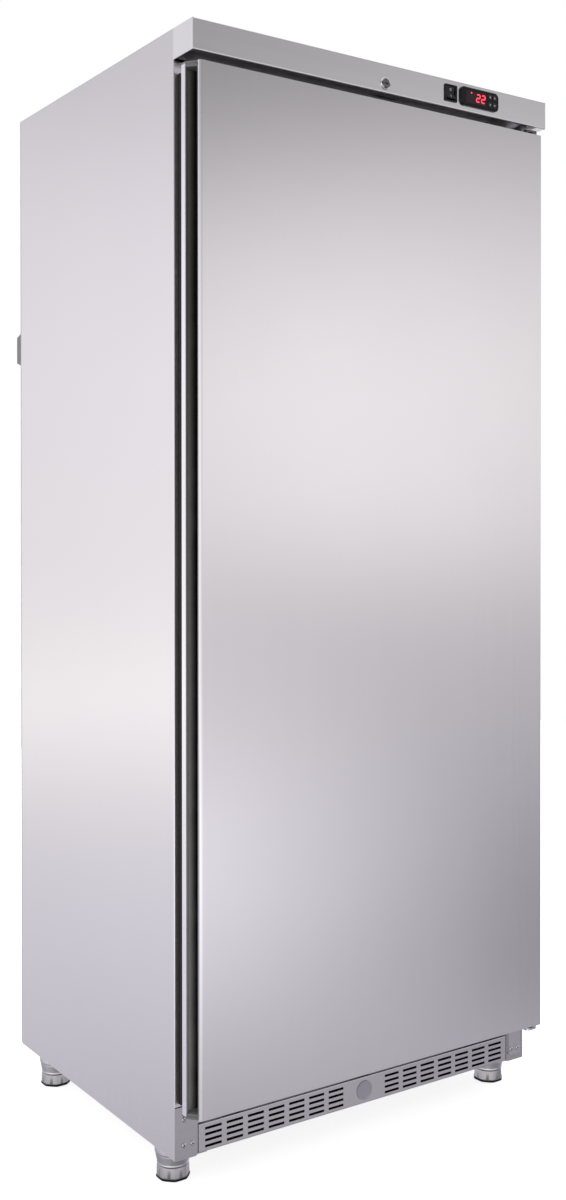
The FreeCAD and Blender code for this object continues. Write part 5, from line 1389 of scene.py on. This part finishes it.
@dataclass
class Switch:
    """The pale I and O marks on the rocker switch, laid on its two slopes."""

    x: float = 0.1502
    z: float = 1.8704
    pivot_y: float = -0.33935
    tilt: float = math.radians(-8.0)
    crest: float = 0.0076
    valley: float = 0.005
    half: float = 0.0114
    proud: float = 0.00012
    sunk: float = 0.0001
    ring_outer: float = 0.0023
    ring_inner: float = 0.0015
    ring_narrow: float = 0.8
    ring_z: float = 0.0060
    bar_half: float = 0.0005
    bar_low: float = -0.0082
    bar_high: float = -0.0038

    def lay(self, marks: np.ndarray) -> np.ndarray:
        """Lay points of X and height on the rocker's face.

        The face falls from its ends to its middle as straight slopes; the whole rocker is tilted
        about its pivot.

        Args:
            marks: X and height from the pivot, with a third column for how far proud.

        Returns:
            The points in the freezer's frame.
        """
        slope = (self.crest - self.valley) / self.half
        across, up, proud = (marks[..., axis] for axis in range(3))
        depth = -(self.valley + np.abs(up) * slope) - proud
        y = depth * math.cos(self.tilt) - up * math.sin(self.tilt)
        z = depth * math.sin(self.tilt) + up * math.cos(self.tilt)
        return points(across + self.x, y + self.pivot_y, z + self.z)

    def build(self) -> None:
        """Build a ring for off on the upper slope and a bar for on the lower one."""
        marks = Surface("switch_marks")
        outer, inner, proud, sunk = self.ring_outer, self.ring_inner, self.proud, -self.sunk
        section = np.array([(outer, proud), (inner, proud), (inner, sunk), (outer, sunk), (outer, proud)])
        radius, angle = section[:, :1], circle(28)
        across = radius * np.cos(angle) * self.ring_narrow
        marks.add(self.lay(points(across, radius * np.sin(angle) + self.ring_z, section[:, 1:])))
        half, low, high = self.bar_half, self.bar_low, self.bar_high
        outline = np.array([(-half, low), (half, low), (half, high), (-half, high)])
        marks.add(self.lay(slab(outline, proud, sunk)[..., [0, 2, 1]]))
        marks.build("rocker", Finishes.INK, "black_plastic", 30.0)


@dataclass
class DoorSeal:
    """The soft seal: a magnet strip at the cabinet's face on a folded bellows.

    The section's points are shares of its width, inward, and of its depth, towards the cabinet.
    """

    left: float = -0.3795
    right: float = 0.3595
    low: float = 0.1452
    high: float = 1.8232
    width: float = 0.020
    root: float = -0.29985
    face: float = -0.28315
    section: Sequence[tuple[float, float]] = (
        (0.10, 0.0), (0.16, 0.18), (0.04, 0.34), (0.15, 0.50), (0.02, 0.66), (0.0, 0.80), (0.02, 0.97),
        (0.12, 1.0), (0.88, 1.0), (0.98, 0.97), (1.0, 0.82), (0.80, 0.70), (0.62, 0.66), (0.78, 0.46),
        (0.66, 0.26), (0.72, 0.10), (0.90, 0.0), (0.5, 0.0),
    )

    def build(self) -> None:
        """Carry the bellows' section round the door: four straight runs mitred at the corners."""
        shares = np.array(self.section)
        inward = shares[:, 0] * self.width
        depth = self.root + shares[:, 1] * (self.face - self.root)
        left, right = self.left + inward, self.right - inward
        low, high = self.low + inward, self.high - inward
        corners = ((left, low), (right, low), (right, high), (left, high))
        seal = Surface("bellows_seal")
        seal.add(np.stack([points(x, depth, z) for x, z in corners]), wrap_rows=True)
        made = seal.build("door", Finishes.SEAL, "gasket_rubber", 50.0)
        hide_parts("gasket")


@dataclass
class EvaporatorShelves:
    """Six flat coils of round tube under round wires, and the tube that rises between them."""

    first: float = 0.398
    pitch: float = 0.231
    count: int = 6
    runs: int = 8
    run_pitch: float = 0.086
    front: float = -0.23885
    rear: float = 0.23815
    tube: float = 0.004
    riser: float = 0.00392
    wire: float = 0.0015
    wires: int = 16
    first_wire: float = 0.016
    last_wire: float = 0.038
    overhang: float = 0.013
    wall: float = 0.26215

    @property
    def outer(self) -> float:
        """X of the outer tube runs."""
        return self.run_pitch * (self.runs - 1) / 2

    def route(self) -> np.ndarray:
        """The coil's centre line: straight runs joined by half turns of half the run pitch.

        Returns:
            Points of X and Y, from the feed end to the return end.
        """
        turn_radius = self.run_pitch / 2
        half_turn = np.linspace(0.0, math.pi, 13)
        number = np.arange(self.runs - 1)[:, None]
        at_front = number % 2 == 0
        middle = -self.outer + self.run_pitch * (number + 0.5)
        bend_y = np.where(at_front, self.front + turn_radius, self.rear - turn_radius)
        x = middle - turn_radius * np.cos(half_turn)
        y = bend_y + np.where(at_front, -1.0, 1.0) * turn_radius * np.sin(half_turn)
        bends = np.stack([x, y], axis=-1).reshape(-1, 2)
        return np.concatenate([[[-self.outer, self.rear]], bends, [[self.outer, self.rear]]])

    def tubing(self, line: np.ndarray, radius: float, steps: int = 12) -> np.ndarray:
        """Carry a circle along a line of points.

        The circle at each point is square to the mean of the runs before and after it.

        Args:
            line: Points in three dimensions.
            radius: The tube's radius.
            steps: Points round the circle.

        Returns:
            Points as line by steps by 3, with the ends closed by points on the line.
        """
        ahead = np.gradient(line, axis=0)
        ahead = ahead / np.linalg.norm(ahead, axis=1, keepdims=True)
        upright = np.abs(ahead[:, 2:]) > 0.9
        helper = np.where(upright, np.array([[1.0, 0.0, 0.0]]), np.array([[0.0, 0.0, 1.0]]))
        side = np.cross(ahead, helper)
        side = side / np.linalg.norm(side, axis=1, keepdims=True)
        rise = np.cross(side, ahead)
        angle = circle(steps)[None, :, None]
        ring = line[:, None] + radius * (side[:, None] * np.cos(angle) + rise[:, None] * np.sin(angle))
        first, last = (np.broadcast_to(line[end, None, None], (1, steps, 3)) for end in (0, -1))
        return np.concatenate([first, ring, last])

    def build(self) -> None:
        """Build the shelves, each in place of its plain node, and the risers behind them."""
        flat = self.route()
        half = self.outer + self.tube + self.overhang
        wire_y = np.linspace(self.front + self.first_wire, self.rear - self.last_wire, self.wires)
        for number in range(self.count):
            level = self.first + self.pitch * number
            shelf = Surface(f"wire_shelf_{number + 1}")
            shelf.add(self.tubing(points(flat[:, 0], flat[:, 1], level), self.tube))
            height = level + self.tube + self.wire
            for y in wire_y:
                ends = np.array([[-half, y, height], [half, y, height]])
                shelf.add(self.tubing(ends, self.wire, 8))
            made = shelf.build("cabinet", Finishes.EPOXY, "shelf_paint", 40.0)
            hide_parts(f"shelf_{number + 1}")
        self.risers()

    def risers(self) -> None:
        """Build the tube between the shelves: an elbow, an upright run and an elbow, side by side."""
        risers = Surface("riser_tubes")
        bend = self.tube
        quarter = np.linspace(0.0, math.pi / 2, 6)
        for number in range(self.count - 1):
            low = self.first + self.pitch * number
            depth = self.rear + self.tube - bend + bend * np.sin(quarter)
            lower = np.column_stack([depth, low + bend - bend * np.cos(quarter)])
            upper = lower[::-1] * (1.0, -1.0) + (0.0, 2.0 * low + self.pitch)
            path = np.concatenate([lower, upper])
            side = self.outer if number % 2 == 0 else -self.outer
            risers.add(self.tubing(points(side, path[:, 0], path[:, 1]), self.riser))
        for level in (self.first, self.first + self.pitch * (self.count - 1)):
            ends = np.array([[-self.outer, self.rear, level], [-self.outer, self.wall, level]])
            risers.add(self.tubing(ends, self.tube))
        made = risers.build("cabinet", Finishes.EPOXY, "shelf_paint", 40.0)
        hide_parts("evaporator_risers")


# --------------------------------------------------------------------------------------------
# Studio
# --------------------------------------------------------------------------------------------


@dataclass(frozen=True)
class Side:
    """One side of the room, as pairs that start with an elevation in degrees.

    The second number of a tone is a grey, and that of a blue is blue as a share of the grey.
    """

    tones: tuple[tuple[float, float], ...]
    blues: tuple[tuple[float, float], ...]

    def ramp(self, graph: Graph, height: Socket) -> Socket:
        """The side's colour by elevation.

        Args:
            graph: The world's graph.
            height: The sine of the elevation carried onto 0 to 1.

        Returns:
            The ramp's colour output.
        """
        made = graph.node("ValToRGB", {"Fac": height})
        stops = made.color_ramp.elements
        stops.remove(stops[-1])
        for number, (elevation, grey) in enumerate(self.tones):
            place = (math.sin(math.radians(elevation)) + 1.0) / 2.0
            stop = stops.new(place) if number else stops[0]
            stop.position = place
            stop.color = (grey, grey, grey * float(np.interp(elevation, *zip(*self.blues))), 1.0)
        return made.outputs["Color"]


@dataclass
class Studio:
    """A white floor that keeps the freezer's soft shadow, and the room that the steel reflects."""

    floor_reach: float = 4.0
    floor_drop: float = 0.0002
    heading: float = 38.0
    turn: float = 0.13
    side_blend: float = 0.15
    glow_heading: float = 39.5
    glow_height: float = 8.5
    glow_reach: float = 14.0
    glow: float = 0.52
    back_x: tuple[float, float] = (-0.37, -0.51)
    back_tone: tuple[float, float] = (0.94, 1.12)
    front_left: Side = Side(
        (
            (-90.0, 0.20), (-40.0, 0.28), (-26.0, 0.45), (-21.0, 0.70), (-19.0, 0.92), (-17.0, 1.08),
            (-15.0, 1.20), (-13.0, 1.17), (-11.0, 1.08), (-9.0, 0.96), (-7.0, 0.86), (-3.5, 0.76),
            (-1.5, 0.86), (0.5, 0.90), (6.0, 0.86), (10.0, 0.75), (12.0, 0.68), (14.0, 0.59),
            (16.0, 0.48), (18.0, 0.34), (21.0, 0.32), (26.0, 0.32), (45.0, 0.60), (90.0, 0.85),
        ),
        ((-19.0, 1.03), (-9.0, 1.01), (-5.0, 1.01), (0.0, 0.98), (8.0, 0.965), (15.0, 0.995)),
    )
    front_right: Side = Side(
        (
            (-90.0, 0.20), (-40.0, 0.28), (-26.0, 0.45), (-21.0, 0.48), (-19.0, 0.26), (-17.0, 0.20),
            (-15.0, 0.23), (-13.0, 0.30), (-11.0, 0.38), (-9.0, 0.45), (-7.0, 0.52), (-3.5, 0.64),
            (-1.5, 0.72), (0.5, 0.74), (6.0, 0.72), (10.0, 0.66), (12.0, 0.60), (14.0, 0.54),
            (16.0, 0.44), (18.0, 0.36), (21.0, 0.33), (26.0, 0.32), (45.0, 0.60), (90.0, 0.85),
        ),
        ((-19.0, 1.09), (-9.0, 1.05), (-5.0, 1.01), (0.0, 0.975), (8.0, 0.965), (15.0, 0.995)),
    )
    back: Side = Side(
        (
            (-90.0, 0.20), (-40.0, 0.35), (-26.0, 0.55), (-21.0, 0.70), (-17.0, 0.78), (-13.0, 0.84),
            (-10.0, 1.00), (-7.5, 1.18), (-5.0, 1.08), (-2.0, 0.99), (6.0, 0.98), (12.0, 0.92),
            (15.0, 0.84), (18.0, 0.72), (28.0, 0.62), (50.0, 0.80), (90.0, 0.95),
        ),
        ((-17.0, 1.07), (-13.0, 1.02), (-9.0, 0.97), (-5.0, 0.965), (0.0, 1.0), (15.0, 1.02)),
    )

    def floor(self) -> None:
        """Lay the floor: so pale that the camera sees it white, but for the freezer's own shade."""
        side = np.linspace(-self.floor_reach, self.floor_reach, 9)
        grid = points(side[:, None], side, -self.floor_drop)
        mesh = bpy.data.meshes.new("studio_floor")
        mesh.from_pydata(grid.reshape(-1, 3).tolist(), [], quads(9, 9).tolist())
        mesh.materials.append(FINISHES.get(Finishes.FLOOR))
        made = bpy.data.objects.new("studio_floor", mesh)
        bpy.context.scene.collection.objects.link(made)
        made.visible_glossy = made.visible_transmission = False

    def soft_light(self, graph: Graph, direction: Socket) -> Socket:
        """How much brighter the room is near its soft light, by the angle from it.

        Args:
            graph: The world's graph.
            direction: The direction looked along.

        Returns:
            A factor that is 1 away from the light.
        """
        turn, rise = math.radians(self.glow_heading), math.radians(self.glow_height)
        aim = (math.sin(turn) * math.cos(rise), -math.cos(turn) * math.cos(rise), math.sin(rise))
        near = graph.node("VectorMath", {0: direction, 1: aim}, operation="DOT_PRODUCT")
        reach = (math.cos(math.radians(self.glow_reach)), 1.0)
        return graph.carry(near.outputs["Value"], reach, (1.0, 1.0 + self.glow), "SMOOTHSTEP")

    def world(self) -> None:
        """Wrap the set in a soft room: white to the camera, and by direction to everything else.

        The room is bright at eye height and dark above the front, and its floor falls off to the
        right. The sine of the angle from the heading blends the left of the front into the right.
        """
        world = bpy.data.worlds.new("soft_room")
        bpy.context.scene.world = world
        world.use_nodes = True
        graph = Graph(world.node_tree)
        direction = graph.node("TexCoord").outputs["Generated"]
        parts = graph.split(direction)
        height = graph.math("MULTIPLY", graph.math("ADD", parts["Z"], 1.0), 0.5)
        angle = math.radians(self.heading)
        east = graph.math("MULTIPLY", parts["X"], math.cos(angle))
        north = graph.math("MULTIPLY", parts["Y"], math.sin(angle))
        aside = graph.carry(graph.math("ADD", east, north), (-self.turn, self.turn))
        left, right = (side.ramp(graph, height) for side in (self.front_left, self.front_right))
        front = graph.scaled(graph.blend(aside, left, right), self.soft_light(graph, direction))
        paler = graph.carry(parts["X"], self.back_x, self.back_tone)
        back = graph.scaled(self.back.ramp(graph, height), paler)
        behind = graph.carry(parts["Y"], (-self.side_blend, self.side_blend), interpolation="SMOOTHSTEP")
        room = graph.blend(behind, front, back)
        sky, white = (graph.node("Background", {"Color": tone}).outputs[0] for tone in (room, WHITE))
        seen = graph.node("LightPath").outputs["Is Camera Ray"]
        shown = graph.node("MixShader", {"Fac": seen, 1: sky, 2: white})
        graph.node("OutputWorld", {"Surface": shown.outputs["Shader"]})

    def build(self) -> None:
        """Set up the floor and the room."""
        self.floor()
        self.world()
        LOG.info("set the floor and the room")


@dataclass
class Camera:
    """The camera at the photograph's place and angle, with degrees and pixels for its sizes."""

    place: tuple[float, float, float] = (-1.478822, -2.199188, 1.088324)
    yaw: float = 34.278
    down: float = 0.402
    roll: float = 0.031
    focal_pixels: float = 1353.943
    frame: tuple[int, int] = (566, 1200)
    centre: tuple[float, float] = (283.619, 536.035)
    sensor: float = 36.0
    clip: tuple[float, float] = (0.05, 60.0)

    def build(self) -> None:
        """Make the camera and give it to the scene."""
        wide, tall = self.frame
        data = bpy.data.cameras.new("camera")
        data.sensor_fit = "AUTO"
        data.sensor_width = self.sensor
        data.lens = self.focal_pixels * self.sensor / tall
        data.shift_x = (wide / 2 - self.centre[0]) / tall
        data.shift_y = (self.centre[1] - tall / 2) / tall
        data.clip_start, data.clip_end = self.clip
        made = bpy.data.objects.new("camera", data)
        made.location = self.place
        made.rotation_mode = "XYZ"
        made.rotation_euler = tuple(math.radians(turn) for turn in (90.0 - self.down, self.roll, -self.yaw))
        bpy.context.scene.collection.objects.link(made)
        bpy.context.scene.camera = made


def main() -> None:
    """Build the freezer's picture in order: frame, finishes, sub-assemblies, studio, camera."""
    logging.basicConfig(level=logging.INFO, format="%(name)s: %(message)s")
    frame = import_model()
    bpy.context.scene.view_settings.view_transform = "Standard"
    Dresser(frame["nodes"]).dress()
    LevellingFeet().build()
    PanScrews().build()
    GrilleFilterShade().build()
    Lock().build()
    Controller().build()
    Switch().build()
    DoorSeal().build()
    EvaporatorShelves().build()
    Studio().build()
    Camera().build()


if __name__ == "__main__":
    main()
